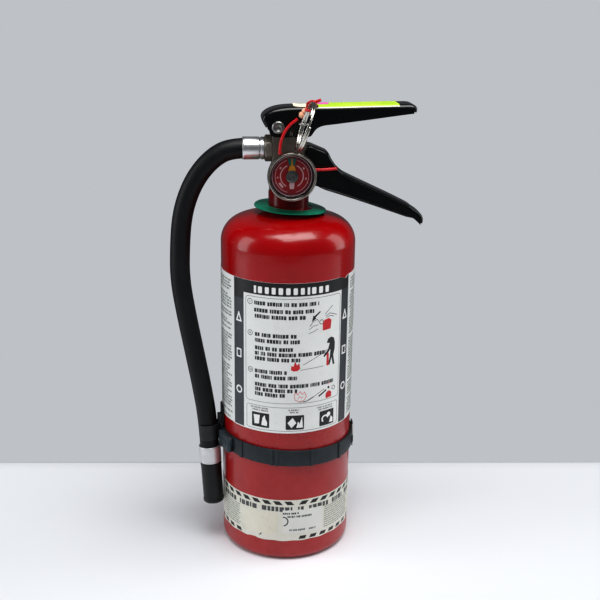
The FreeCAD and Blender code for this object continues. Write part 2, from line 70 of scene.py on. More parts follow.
# ------------------------------------------------------------------ material kit
class G:
    """Small helper round one material's node tree."""

    def __init__(self, name):
        self.m = bpy.data.materials.new(name)
        self.m.use_nodes = True
        self.t = self.m.node_tree
        self.t.nodes.clear()
        self.out = self.n("ShaderNodeOutputMaterial")
        self.b = self.n("ShaderNodeBsdfPrincipled")
        self.t.links.new(self.b.outputs[0], self.out.inputs[0])
        self.co = self.n("ShaderNodeTexCoord").outputs["Object"]

    def n(self, kind, **kw):
        x = self.t.nodes.new(kind)
        for k, v in kw.items():
            setattr(x, k, v)
        return x

    def link(self, a, b):
        self.t.links.new(a, b)

    def set(self, **kw):
        for k, v in kw.items():
            self.b.inputs[k.replace("_", " ")].default_value = v
        return self

    def coords(self, scale=(1, 1, 1)):
        mp = self.n("ShaderNodeMapping")
        mp.inputs["Scale"].default_value = scale
        self.link(self.co, mp.inputs["Vector"])
        return mp.outputs[0]

    def noise(self, scale, detail=3.0, rough=0.55, stretch=(1, 1, 1), distort=0.0):
        x = self.n("ShaderNodeTexNoise")
        x.inputs["Scale"].default_value = scale
        x.inputs["Detail"].default_value = detail
        x.inputs["Roughness"].default_value = rough
        x.inputs["Distortion"].default_value = distort
        self.link(self.coords(stretch), x.inputs["Vector"])
        return x.outputs[0]

    def voronoi(self, scale, feature="F1", stretch=(1, 1, 1)):
        x = self.n("ShaderNodeTexVoronoi", feature=feature)
        x.inputs["Scale"].default_value = scale
        self.link(self.coords(stretch), x.inputs["Vector"])
        return x.outputs["Distance"]

    def ramp(self, fac, stops):
        r = self.n("ShaderNodeValToRGB")
        e = r.color_ramp.elements
        while len(e) < len(stops):
            e.new(0.5)
        for el, (p, c) in zip(e, stops):
            el.position = p
            el.color = (c, c, c, 1) if isinstance(c, (int, float)) else (*c, 1)
        self.link(fac, r.inputs[0])
        return r.outputs[0]

    def mix(self, fac, a, b, mode="MIX"):
        x = self.n("ShaderNodeMix", data_type="RGBA", blend_type=mode)
        ins = {"f": x.inputs[0], "a": x.inputs[6], "b": x.inputs[7]}
        for k, v in (("f", fac), ("a", a), ("b", b)):
            if isinstance(v, (int, float)):
                ins[k].default_value = v if k == "f" else (v, v, v, 1)
            elif isinstance(v, tuple):
                ins[k].default_value = (*v, 1)
            else:
                self.link(v, ins[k])
        return x.outputs[2]

    def math(self, op, a, b=0.0, c=0.0, clamp=False):
        x = self.n("ShaderNodeMath", operation=op, use_clamp=clamp)
        for i, v in enumerate((a, b, c)):
            if isinstance(v, (int, float)):
                x.inputs[i].default_value = v
            else:
                self.link(v, x.inputs[i])
        return x.outputs[0]

    def xyz(self):
        s = self.n("ShaderNodeSeparateXYZ")
        self.link(self.co, s.inputs[0])
        return s.outputs[0], s.outputs[1], s.outputs[2]

    def bump(self, height, strength=0.3, dist=0.0005, onto=None):
        x = self.n("ShaderNodeBump")
        x.inputs["Strength"].default_value = strength
        x.inputs["Distance"].default_value = dist
        self.link(height, x.inputs["Height"])
        if onto is not None:
            self.link(onto, x.inputs["Normal"])
        self.link(x.outputs[0], self.b.inputs["Normal"])
        return x.outputs[0]

    def color(self, socket):
        self.link(socket, self.b.inputs["Base Color"])
        return self

    def rough(self, socket):
        self.link(socket, self.b.inputs["Roughness"])
        return self

    def metal(self, v):
        self.b.inputs["Metallic"].default_value = v
        return self


def finish_simple(name, c0, c1, rough, scale=40, metal=0.0, bump=0.15, bump_scale=600, coat=0.0, spec=0.5, stretch=(1, 1, 1), dist=0.0003):
    """Mottled colour between c0 and c1, roughness range, fine bump."""
    g = G(name)
    nz = g.noise(scale, 4, 0.6, stretch)
    g.color(g.mix(g.ramp(nz, [(0.3, 0.0), (0.7, 1.0)]), c0, c1))
    g.rough(g.math("ADD", g.math("MULTIPLY", g.noise(scale * 2.3, 3, 0.6, stretch), rough[1] - rough[0]), rough[0]))
    g.metal(metal)
    g.b.inputs["Specular IOR Level"].default_value = spec
    if coat:
        g.b.inputs["Coat Weight"].default_value = coat
        g.b.inputs["Coat Roughness"].default_value = 0.05
    g.bump(g.noise(bump_scale, 3, 0.6, stretch), bump, dist)
    return g


def paint(obj, mat):
    obj.data.materials.clear()
    obj.data.materials.append(mat)
    return obj


def rgb(r, g, b):
    """Linear colour from 0-255 display values."""
    out = []
    for c in (r, g, b):
        c /= 255.0
        out.append(c / 12.92 if c <= 0.04045 else ((c + 0.055) / 1.055) ** 2.4)
    return tuple(out)


# ------------------------------------------------------------------ mesh kit, everything in millimetres
def mesh_obj(name, verts, faces, mat=None, smooth=True, body=None, replaces=(), slot=None):
    me = bpy.data.meshes.new(name)
    me.from_pydata([(v[0] * MM, v[1] * MM, v[2] * MM) for v in verts], [], faces)
    bm = bmesh.new()
    bm.from_mesh(me)
    bmesh.ops.remove_doubles(bm, verts=bm.verts, dist=1e-7)
    bmesh.ops.recalc_face_normals(bm, faces=bm.faces)
    bm.to_mesh(me)
    bm.free()
    o = bpy.data.objects.new(name, me)
    SC.collection.objects.link(o)
    if smooth:
        for p in me.polygons:
            p.use_smooth = True
    if mat is not None:
        me.materials.append(mat)
    if body:
        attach(o, body)
    if replaces:
        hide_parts(*replaces)
    return o


def basis(axis):
    a = Vector(axis).normalized()
    h = Vector((0, 0, 1)) if abs(a.z) < 0.9 else Vector((1, 0, 0))
    u = h.cross(a).normalized()
    return a, u, a.cross(u).normalized()


def fillet(pts, r, steps=5, closed=True):
    """Rounds each corner of a 2-D outline. r is one number or one per corner."""
    out = []
    n = len(pts)
    for i in range(n):
        rr = r[i] if isinstance(r, (list, tuple)) else r
        p = Vector(pts[i])
        if (not closed and i in (0, n - 1)) or rr <= 0:
            out.append(tuple(p))
            continue
        a, b = Vector(pts[i - 1]) - p, Vector(pts[(i + 1) % n]) - p
        la, lb = a.length, b.length
        if la < 1e-6 or lb < 1e-6:
            out.append(tuple(p))
            continue
        a, b = a / la, b / lb
        ang = a.angle(b)
        if ang > PI - 0.02 or ang < 0.02:
            out.append(tuple(p))
            continue
        t = min(rr / math.tan(ang / 2), la * 0.48, lb * 0.48)
        s, e = p + a * t, p + b * t
        for k in range(steps + 1):
            w = k / steps
            out.append(tuple(s * (1 - w) ** 2 + p * 2 * w * (1 - w) + e * w * w))
    return out


def lathe(name, prof, origin=(0, 0, 0), axis=(0, 0, 1), seg=96, closed=True, mat=None, wobble=None, **kw):
    """Profile of (radius, height) turned about the axis. A closed profile makes a closed solid."""
    a, u, v = basis(axis)
    o = Vector(origin)
    verts, faces, idx = [], [], []
    for i, (r, h) in enumerate(prof):
        if abs(r) < 1e-6:
            verts.append(o + a * h)
            idx.append([len(verts) - 1] * seg)
        else:
            row = []
            for k in range(seg):
                t = 2 * PI * k / seg
                rr, hh = wobble(r, h, t) if wobble else (r, h)
                verts.append(o + a * hh + (u * math.cos(t) + v * math.sin(t)) * rr)
                row.append(len(verts) - 1)
            idx.append(row)
    n = len(prof)
    for i in range(n if closed else n - 1):
        j = (i + 1) % n
        for k in range(seg):
            m = (k + 1) % seg
            f = [idx[i][k], idx[i][m], idx[j][m], idx[j][k]]
            f = list(dict.fromkeys(f))
            if len(f) > 2:
                faces.append(f)
    return mesh_obj(name, verts, faces, mat, **kw)


def smooth_line(ctrl, res=24, order=3):
    """Points along a NURBS spline whose control points are ctrl (millimetres)."""
    cu = bpy.data.curves.new("line", "CURVE")
    cu.dimensions = "3D"
    sp = cu.splines.new("NURBS")
    sp.points.add(len(ctrl) - 1)
    for p, q in zip(sp.points, ctrl):
        p.co = (q[0] * MM, q[1] * MM, q[2] * MM, 1)
    sp.order_u = order
    sp.use_endpoint_u = True
    sp.resolution_u = res
    cu.resolution_u = res
    ob = bpy.data.objects.new("line", cu)
    SC.collection.objects.link(ob)
    bpy.context.view_layer.update()
    me = bpy.data.meshes.new_from_object(ob.evaluated_get(bpy.context.evaluated_depsgraph_get()))
    pts = [v.co.copy() / MM for v in me.vertices]
    bpy.data.objects.remove(ob)
    bpy.data.curves.remove(cu)
    bpy.data.meshes.remove(me)
    return pts


def sweep(name, pts, radius, seg=20, closed=False, mat=None, cap=True, rfun=None, **kw):
    """Round tube along points, kept from twisting. rfun(s, angle) multiplies the radius."""
    pts = [Vector(p) for p in pts]
    n = len(pts)
    tan = []
    for i in range(n):
        if closed:
            d = pts[(i + 1) % n] - pts[i - 1]
        else:
            d = pts[min(i + 1, n - 1)] - pts[max(i - 1, 0)]
        tan.append(d.normalized())
    _, u, _ = basis(tan[0])
    frames, run = [], 0.0
    for i in range(n):
        if i:
            u = (u - tan[i] * u.dot(tan[i])).normalized()
            run += (pts[i] - pts[i - 1]).length
        frames.append((u.copy(), tan[i].cross(u).normalized(), run))
    verts, faces = [], []
    for i in range(n):
        uu, vv, s = frames[i]
        for k in range(seg):
            t = 2 * PI * k / seg
            rr = radius * (rfun(s, t, run) if rfun else 1.0)
            verts.append(pts[i] + (uu * math.cos(t) + vv * math.sin(t)) * rr)
    for i in range(n if closed else n - 1):
        j = (i + 1) % n
        for k in range(seg):
            m = (k + 1) % seg
            faces.append([i * seg + k, i * seg + m, j * seg + m, j * seg + k])
    if cap and not closed:
        for i, s in ((0, -1), (n - 1, 1)):
            uu, vv, _ = frames[i]
            base = i * seg
            c = len(verts)
            dome = [radius * 0.0]
            verts.append(pts[i] + tan[i] * s * radius * (0.35 if kw.get("dome") else 0.0))
            for k in range(seg):
                faces.append([base + k, base + (k + 1) % seg, c])
    kw.pop("dome", None)
    return mesh_obj(name, verts, faces, mat, **kw)


def copy_node(node, name, mat=None, voxel=0.0, smooth=0, factor=0.5, body=None, bevel=0.0):
    """A finer piece made from a CAD node's mesh: remeshed and relaxed so that its edges are cast or moulded round."""
    me = N[node].data.copy()
    me.materials.clear()
    o = bpy.data.objects.new(name, me)
    SC.collection.objects.link(o)
    bm = bmesh.new()
    bm.from_mesh(me)
    bmesh.ops.remove_doubles(bm, verts=bm.verts, dist=2e-6)
    bm.to_mesh(me)
    bm.free()
    if voxel:
        m = o.modifiers.new("r", "REMESH")
        m.mode = "VOXEL"
        m.voxel_size = voxel * MM
    if smooth:
        m = o.modifiers.new("s", "SMOOTH")
        m.iterations = smooth
        m.factor = factor
    if bevel:
        m = o.modifiers.new("b", "BEVEL")
        m.width = bevel * MM
        m.segments = 3
        m.limit_method = "ANGLE"
        m.angle_limit = math.radians(35)
    bpy.context.view_layer.update()
    ev = o.evaluated_get(bpy.context.evaluated_depsgraph_get())
    new = bpy.data.meshes.new_from_object(ev)
    o.modifiers.clear()
    o.data = new
    for p in new.polygons:
        p.use_smooth = True
    if mat is not None:
        new.materials.clear()
        new.materials.append(mat)
    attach(o, body)
    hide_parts(node)
    return o


def boolean(o, cutter, op="DIFFERENCE"):
    m = o.modifiers.new("bool", "BOOLEAN")
    m.operation = op
    m.solver = "EXACT"
    m.object = cutter
    bpy.context.view_layer.update()
    new = bpy.data.meshes.new_from_object(o.evaluated_get(bpy.context.evaluated_depsgraph_get()))
    o.modifiers.clear()
    o.data = new
    bpy.data.objects.remove(cutter)


def apply_mods(o):
    bpy.context.view_layer.update()
    new = bpy.data.meshes.new_from_object(o.evaluated_get(bpy.context.evaluated_depsgraph_get()))
    o.modifiers.clear()
    o.data = new
    return o


def bevel(o, width, segments=3, angle=40):
    m = o.modifiers.new("bevel", "BEVEL")
    m.width = width * MM
    m.segments = segments
    m.limit_method = "ANGLE"
    m.angle_limit = math.radians(angle)
    apply_mods(o)
    for p in o.data.polygons:
        p.use_smooth = True
    return o


def join_into(a, others):
    """Adds the meshes of others to a, all in the row frame."""
    bm = bmesh.new()
    bm.from_mesh(a.data)
    for o in others:
        me = o.data.copy()
        me.transform(o.matrix_world)
        bm.from_mesh(me)
        bpy.data.objects.remove(o)
    bm.to_mesh(a.data)
    bm.free()
    for p in a.data.polygons:
        p.use_smooth = True
    return a


# ------------------------------------------------------------------ materials
def red_paint():
    g = G("red_enamel")
    x, y, z = g.xyz()
    mott = g.noise(22, 5, 0.6)
    base = g.mix(g.ramp(mott, [(0.35, 0.0), (0.7, 1.0)]), rgb(146, 1, 6), rgb(162, 3, 9))
    # the lower half is chalkier and lighter: the lightening towards the bottom is partly dust and partly a painted
    # reflection of the pale floor
    low = g.math("SUBTRACT", 1.0, g.math("MULTIPLY", z, 5.6), clamp=True)
    dust = g.ramp(g.noise(90, 6, 0.75), [(0.35, 0.35), (0.75, 1.0)])
    low = g.math("MULTIPLY", g.math("MULTIPLY", low, 0.62), dust)
    base = g.mix(low, base, rgb(176, 62, 62))
    # scuffs and small chips near the foot and below the strap
    sc = g.ramp(g.noise(150, 6, 0.75, (1, 1, 1.6)), [(0.655, 0.0), (0.69, 1.0)])
    near = g.math("SUBTRACT", 1.0, g.math("MULTIPLY", z, 52.0), clamp=True)
    sc = g.math("MULTIPLY", sc, near)
    base = g.mix(sc, base, rgb(196, 136, 128))
    scr = g.ramp(g.noise(60, 2, 0.4, (1, 1, 14)), [(0.735, 0.0), (0.75, 1.0)])
    base = g.mix(g.math("MULTIPLY", scr, 0.25), base, rgb(190, 80, 80))
    fleck = g.ramp(g.noise(420, 3, 0.6), [(0.70, 0.0), (0.74, 1.0)])
    base = g.mix(g.math("MULTIPLY", fleck, g.math("MULTIPLY", low, 0.9)), base, rgb(206, 130, 124))
    g.color(base)
    r = g.math("ADD", g.math("MULTIPLY", g.noise(35, 5, 0.7), 0.14), 0.16)
    r = g.math("ADD", r, g.math("MULTIPLY", low, 0.42))
    g.rough(g.math("ADD", r, g.math("MULTIPLY", sc, 0.4)))
    g.b.inputs["Coat Weight"].default_value = 0.3
    g.b.inputs["Coat Roughness"].default_value = 0.06
    g.b.inputs["Specular IOR Level"].default_value = 0.35
    g.bump(g.noise(220, 4, 0.5), 0.06, 0.0004)
    return g.m


def cast_metal():
    g = G("cast_aluminium")
    nz = g.noise(60, 5, 0.65)
    g.color(g.mix(g.ramp(nz, [(0.3, 0.0), (0.72, 1.0)]), rgb(112, 106, 98), rgb(152, 147, 138)))
    g.metal(0.75)
    g.rough(g.math("ADD", g.math("MULTIPLY", g.noise(140, 4, 0.6), 0.2), 0.38))
    g.bump(g.noise(900, 5, 0.7), 0.25, 0.0003)
    return g.m


def turned_metal(name, c0, c1, r0, r1, axis="x", scale=700, metal=1.0):
    g = G(name)
    st = {"x": (1, 0.02, 0.02), "y": (0.02, 1, 0.02), "z": (0.02, 0.02, 1)}[axis]
    lines = g.noise(scale, 3, 0.6, st)
    blot = g.noise(70, 4, 0.6)
    g.color(g.mix(g.ramp(blot, [(0.35, 0.0), (0.75, 1.0)]), c0, c1))
    g.metal(metal)
    g.rough(g.math("ADD", g.math("MULTIPLY", lines, r1 - r0), r0))
    g.bump(lines, 0.10, 0.0002)
    return g.m


def black_enamel(name="black_enamel"):
    g = G(name)
    nz = g.noise(40, 5, 0.7)
    wear = g.ramp(g.noise(210, 6, 0.8), [(0.70, 0.0), (0.74, 1.0)])
    base = g.mix(g.ramp(nz, [(0.3, 0.0), (0.75, 1.0)]), rgb(4, 5, 6), rgb(8, 9, 10))
    g.color(g.mix(g.math("MULTIPLY", wear, 0.25), base, rgb(60, 58, 56)))
    g.rough(g.math("ADD", g.math("MULTIPLY", g.noise(30, 4, 0.6), 0.14), 0.20))
    g.b.inputs["Coat Weight"].default_value = 0.4
    g.b.inputs["Coat Roughness"].default_value = 0.06
    g.b.inputs["Specular IOR Level"].default_value = 0.2
    g.bump(g.noise(260, 3, 0.5), 0.04, 0.0003)
    return g.m


def hose_rubber():
    g = G("hose_rubber")
    nz = g.noise(120, 5, 0.7, (1, 1, 0.35))
    base = g.mix(g.ramp(nz, [(0.3, 0.0), (0.75, 1.0)]), rgb(9, 10, 12), rgb(19, 20, 23))
    scuff = g.ramp(g.noise(46, 6, 0.72, (1, 1, 0.6)), [(0.66, 0.0), (0.72, 1.0)])
    g.color(g.mix(g.math("MULTIPLY", scuff, 0.22), base, rgb(70, 70, 70)))
    g.rough(g.math("ADD", g.math("MULTIPLY", nz, 0.2), 0.40))
    g.b.inputs["Specular IOR Level"].default_value = 0.3
    w = g.n("ShaderNodeTexWave", wave_type="BANDS", bands_direction="Z")
    w.inputs["Scale"].default_value = 130
    w.inputs["Distortion"].default_value = 1.5
    g.link(g.co, w.inputs["Vector"])
    h = g.math("ADD", g.math("MULTIPLY", w.outputs["Fac"], 0.35), g.noise(700, 4, 0.6))
    g.bump(h, 0.16, 0.0003)
    return g.m


def film(name, c0, c1, grime=rgb(196, 190, 168), amount=0.35, rough=0.38):
    g = G(name)
    nz = g.noise(18, 6, 0.7)
    base = g.mix(g.ramp(nz, [(0.35, 0.0), (0.7, 1.0)]), c0, c1)
    gr = g.ramp(g.noise(55, 6, 0.78), [(0.56, 0.0), (0.72, 1.0)])
    g.color(g.mix(g.math("MULTIPLY", gr, amount), base, grime))
    g.rough(g.math("ADD", g.math("MULTIPLY", g.noise(80, 4, 0.6), 0.15), rough))
    g.bump(g.noise(160, 4, 0.6), 0.08, 0.0003)
    return g.m


def ink(name, c, c2=None, rough=0.4, fade=0.0, faded=(0.6, 0.6, 0.6)):
    g = G(name)
    nz = g.noise(120, 5, 0.7)
    base = g.mix(g.ramp(nz, [(0.3, 0.0), (0.75, 1.0)]), c, c2 or tuple(min(1, v * 1.35 + 0.004) for v in c))
    if fade:
        base = g.mix(g.math("MULTIPLY", g.ramp(g.noise(400, 5, 0.8), [(0.55, 0.0), (0.68, 1.0)]), fade), base, faded)
    g.color(base)
    g.rough(g.math("ADD", g.math("MULTIPLY", nz, 0.12), rough))
    g.bump(g.noise(300, 3, 0.6), 0.05, 0.0002)
    return g.m


M_RED = red_paint()
M_CAST = cast_metal()
M_FERRULE = turned_metal("bright_ferrule", rgb(212, 214, 217), rgb(232, 233, 236), 0.26, 0.42, "x", 900)
M_FERRULE_Z = turned_metal("bright_ferrule_lower", rgb(206, 206, 208), rgb(226, 226, 228), 0.34, 0.50, "z", 900, 0.85)
M_BEZEL = turned_metal("nickel_bezel", rgb(132, 127, 119), rgb(172, 168, 160), 0.15, 0.32, "y", 800)
M_CHROME = turned_metal("ring_chrome", rgb(186, 183, 174), rgb(214, 212, 205), 0.12, 0.24, "y", 500)
M_STEEL = turned_metal("rivet_steel", rgb(132, 134, 132), rgb(172, 173, 170), 0.24, 0.42, "y", 600)
M_HUB = turned_metal("hub_grey", rgb(96, 97, 96), rgb(142, 142, 138), 0.32, 0.50, "y", 500)
M_BRASS = turned_metal("brass", rgb(186, 148, 74), rgb(206, 170, 92), 0.22, 0.40, "z", 500)
M_SPRING = turned_metal("spring_wire", rgb(140, 140, 142), rgb(170, 170, 172), 0.25, 0.4, "z", 500)
M_BLACK = black_enamel()
M_HOSE = hose_rubber()
M_PLASTIC = finish_simple("black_plastic", rgb(10, 11, 13), rgb(19, 20, 23), (0.30, 0.5), 70, 0.0, 0.2, 800, spec=0.35).m
M_CLIP = finish_simple("clip_plastic", rgb(20, 21, 23), rgb(32, 33, 36), (0.34, 0.55), 70, 0.0, 0.2, 800, spec=0.4).m
def strap_rubber():
    g = G("slate_strap")
    base = g.mix(g.ramp(g.noise(60, 4, 0.6), [(0.3, 0.0), (0.7, 1.0)]), rgb(24, 30, 34), rgb(40, 48, 53))
    sc = g.ramp(g.noise(170, 6, 0.8, (1, 1, 0.6)), [(0.62, 0.0), (0.70, 1.0)])
    g.color(g.mix(g.math("MULTIPLY", sc, 0.5), base, rgb(104, 110, 108)))
    g.rough(g.math("ADD", g.math("MULTIPLY", g.noise(120, 3, 0.6), 0.2), 0.38))
    g.b.inputs["Specular IOR Level"].default_value = 0.35
    g.bump(g.noise(700, 3, 0.6), 0.25, 0.0003)
    return g.m


M_STRAP = strap_rubber()
M_BUCKLE = finish_simple("slate_buckle", rgb(38, 48, 54), rgb(60, 72, 78), (0.38, 0.58), 60, 0.0, 0.25, 700, spec=0.35).m
M_SEALR = finish_simple("black_nitrile", rgb(12, 12, 12), rgb(22, 22, 22), (0.5, 0.65), 90).m
M_SIPHON = finish_simple("siphon_polymer", rgb(206, 206, 198), rgb(220, 220, 214), (0.4, 0.55), 40).m
M_POWDER = finish_simple("agent_powder", rgb(222, 212, 170), rgb(236, 228, 190), (0.85, 0.98), 200, 0.0, 0.6, 1500).m
M_FILM = film("label_film", rgb(226, 227, 226), rgb(236, 237, 235), rgb(205, 203, 190), 0.3)
M_FILM_OLD = film("label_film_aged", rgb(212, 210, 198), rgb(228, 226, 216), rgb(178, 172, 148), 0.5, 0.45)
M_INK_BLACK = ink("ink_black", rgb(6, 7, 9), rgb(14, 15, 17), 0.34)
M_INK_SLATE = ink("ink_slate", rgb(46, 49, 55), rgb(58, 61, 67), 0.36)
M_INK_GREY = ink("ink_grey", rgb(78, 80, 82), rgb(104, 106, 106), 0.42, 0.35, rgb(200, 200, 196))
M_INK_TEXT = ink("ink_text", rgb(26, 28, 30), rgb(44, 46, 48), 0.42, 0.15, rgb(170, 170, 168))
M_INK_WHITE = ink("ink_white", rgb(236, 237, 236), rgb(244, 244, 243), 0.4)
M_INK_RED = ink("ink_red", rgb(190, 16, 24), rgb(204, 34, 40), 0.4, 0.15, rgb(230, 170, 165))
M_INK_PINK = ink("ink_pink", rgb(204, 96, 96), rgb(216, 120, 116), 0.45)
M_INK_GREEN = ink("ink_grey_green", rgb(98, 110, 102), rgb(122, 134, 124), 0.45, 0.25, rgb(206, 208, 202))


def green_plastic():
    g = G("green_plastic")
    nz = g.noise(40, 4, 0.6)
    g.color(g.mix(g.ramp(nz, [(0.3, 0.0), (0.75, 1.0)]), rgb(0, 106, 82), rgb(6, 136, 104)))
    g.rough(g.math("ADD", g.math("MULTIPLY", g.noise(70, 4, 0.6), 0.15), 0.22))
    g.b.inputs["Specular IOR Level"].default_value = 0.25
    g.bump(g.noise(300, 3, 0.6), 0.08, 0.0003)
    return g.m


M_GREEN = green_plastic()
M_SEAL_RED = finish_simple("seal_red", rgb(184, 6, 18), rgb(206, 16, 28), (0.3, 0.48), 120, 0.0, 0.12, 900).m
M_SEAL_PEACH = finish_simple("seal_peach", rgb(226, 146, 104), rgb(244, 204, 176), (0.35, 0.55), 260, 0.0, 0.15, 700).m

# ------------------------------------------------------------------ pressure shell, neck, collar
def shell_profile():
    """Closed meridian (radius, z) in mm: outside from the dish to the neck, then back inside."""
    def side(off):
        r, k, c, f = 54.0 - off, 20.0 - off, 138.0 - off, 7.0 - off
        a = math.atan2(262.0 - 149.0, 34.0)
        pts = []
        for i in range(15):
            t = i / 14
            rr = 43.0 * t
            pts.append((rr, 9.0 + off - 9.0 * t ** 2.2))
        for i in range(11):
            t = -PI / 2 + PI / 2 * i / 10
            pts.append((47.0 + f * math.cos(t), 7.0 + f * math.sin(t)))
        for i in range(1, 26):
            pts.append((r, 7.0 + (262.0 - 7.0) * i / 25))
        for i in range(1, 21):
            t = a * i / 20
            pts.append((34.0 + k * math.cos(t), 262.0 + k * math.sin(t)))
        r0 = c * math.cos(a)
        for i in range(1, 21):
            rr = r0 + (14.0 - r0) * i / 20
            pts.append((rr, 149.0 + math.sqrt(c * c - rr * rr)))
        return pts
    return side(0.0) + list(reversed(side(1.5)))


# the closed dish centre makes two points on the axis, one outside and one inside
lathe("shell_body", shell_profile(), seg=160, closed=False, mat=M_RED, body="root", replaces=("cylinder_shell",), slot="red_paint")
# neck spud with a rolled weld bead
zc = 149.0 + math.sqrt(138.0 ** 2 - 196.0) + 0.05


def bead(r, h, t):
    if 286.0 < h < 289.4 and r > 16.3:
        return r + 0.16 * math.sin(t * 46) + 0.08 * math.sin(t * 17 + 1), h + 0.07 * math.sin(t * 46 + 1)
    return r, h


neck = [(12.6, 280.0), (13.9, 280.0), (13.9, zc), (18.1, zc - 0.4)] + fillet([(18.3, zc - 0.2), (18.2, 288.0), (16.2, 289.2)], 1.0, 6, False) + \
       [(16.0, 291.0), (16.0, 301.6), (15.6, 302.6), (15.0, 303.0), (12.6, 303.0)]
M_NECK = finish_simple("neck_enamel", rgb(84, 1, 5), rgb(108, 2, 8), (0.2, 0.36), 60, 0.0, 0.1, 400, 0.15, 0.25).m
lathe("neck_spud", neck, seg=192, mat=M_NECK, wobble=bead, body="root", replaces=("neck_collar",), slot="red_paint")

ct, st_ = math.cos(math.radians(4.4)), math.sin(math.radians(4.4))
colprof = fillet([(17.6, -0.25), (18.4, -0.65), (28.0, -1.25), (28.75, -0.9), (28.75, -0.2), (28.2, 0.15), (18.4, 0.75), (17.6, 0.4)], 0.35, 4)


def wave(r, h, t):
    k = max(0.0, (r - 19.0) / 9.5)
    return r, h + k * (0.28 * math.sin(2 * t + 0.8) + 0.12 * math.sin(5 * t))


lathe("collar_disc", colprof, origin=(1.4, 0, 289.3), axis=(st_, 0, ct), seg=160, mat=M_GREEN, wobble=wave, body="collar",
      replaces=("service_collar",), slot="green_collar")

# ------------------------------------------------------------------ hose, on one smooth line
HOSE_ROUTE = [(-30.0, 0.0, 335.7), (-45.0, 0.0, 335.7), (-58.4, -0.1, 329.1), (-70.3, -0.3, 316.4),
              (-78.8, -0.9, 300.7), (-84.3, -1.8, 282.1), (-86.4, -2.8, 258.5), (-87.0, -4.1, 231.3),
              (-82.3, -5.4, 201.2), (-76.6, -6.7, 170.6), (-71.0, -7.9, 140.0), (-66.5, -9.1, 109.9),
              (-65.0, -9.4, 79.8)]
HOSE_R = 7.95
hose_line = smooth_line(HOSE_ROUTE, 18)


def hose_skin(s, t, run):
    return 1.0 + 0.004 * math.sin(t * 24)


hose = sweep("hose_tube", hose_line, HOSE_R, seg=48, mat=M_HOSE, rfun=hose_skin)
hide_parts("discharge_hose")
hose.data.update()

# crimped upper ferrule and coupling nut, axis -X
uf = fillet([(7.98, 17.3), (7.98, 2.0), (6.6, 2.0), (6.6, 0.0), (8.2, 0.0), (8.8, 0.7), (8.8, 2.7), (8.2, 3.1), (8.2, 3.9), (8.8, 4.3), (8.9, 16.2), (8.55, 17.3)], 0.35, 4)
lathe("ferrule_upper", uf, origin=(-19.3, 0, 335.7), axis=(-1, 0, 0), seg=96, mat=M_FERRULE, body="root", replaces=("upper_ferrule",), slot="bright_metal")


def nut_shape(r, h, t):
    if r < 8.0:
        return r, h
    flat = 9.35 / max(0.5, math.cos(((t + PI / 6) % (PI / 3)) - PI / 6))
    return min(r, flat), h


nutp = fillet([(6.45, 0.0), (9.4, 0.0), (10.5, 0.8), (10.5, 4.9), (9.4, 5.7), (6.45, 5.7)], 0.3, 3)
lathe("coupling_nut", nutp, origin=(-13.5, 0, 335.7), axis=(-1, 0, 0), seg=120, mat=M_CAST, wobble=nut_shape, body="root",
      replaces=("hose_coupling_nut",), slot="cast_valve")

# lower ferrule and nozzle
nz0, nz1 = Vector((-65.0, -9.4, 79.8)), Vector((-62.5, -11.4, 36.0))
nd = (nz1 - nz0).normalized()
f0 = nz0 - nd * 7.2
lf = [(8.0, 0.0), (8.9, 0.0), (9.1, 0.4), (9.1, 1.0), (8.95, 1.5), (9.05, 2.2), (9.12, 7.0), (9.05, 12.2), (8.9, 12.8), (9.05, 13.4), (9.05, 14.2),
      (8.9, 14.6), (8.3, 14.8), (3.2, 14.8), (3.2, 8.2), (8.35, 8.1), (8.35, 0.6)]
ferr_low = lathe("ferrule_lower", fillet(lf, 0.3, 3), origin=f0, axis=nd, seg=96, mat=M_FERRULE_Z, body="nozzle", replaces=("nozzle_ferrule",), slot="bright_metal")
n0 = f0 + nd * 14.85
nl = (nz1 - n0).length
npf = [(3.2, 0.0), (8.5, 0.0), (8.85, 0.5), (8.85, 2.4), (8.55, 2.8), (8.7, 3.3), (8.45, nl - 3.4), (8.75, nl - 2.9), (8.75, nl - 1.0), (8.2, nl), (6.9, nl), (6.3, nl - 0.6),
       (3.4, 11.0), (3.2, 10.0)]
nozz = lathe("nozzle_tip", fillet(npf, 0.35, 3), origin=n0, axis=nd, seg=96, mat=M_PLASTIC, body="nozzle", replaces=("nozzle",), slot="black_plastic")

hose_len = sum((hose_line[i + 1] - hose_line[i]).length for i in range(len(hose_line) - 1))
shown = [p for p in hose_line]
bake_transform(hose)


# ------------------------------------------------------------------ pressed channels: lever and carrying handle
def arclen(pts):
    return sum(math.dist(pts[i], pts[i + 1]) for i in range(len(pts) - 1))


def resample(pts, step):
    out = [pts[0]]
    for i in range(len(pts) - 1):
        a, b = Vector(pts[i]), Vector(pts[i + 1])
        n = max(1, int(round((b - a).length / step)))
        for k in range(1, n + 1):
            out.append(tuple(a + (b - a) * k / n))
    return out


def relax(pts, rounds=3):
    for _ in range(rounds):
        pts = [pts[0]] + [((pts[i - 1][0] + 2 * pts[i][0] + pts[i + 1][0]) / 4, (pts[i - 1][1] + 2 * pts[i][1] + pts[i + 1][1]) / 4)
                          for i in range(1, len(pts) - 1)] + [pts[-1]]
    return pts


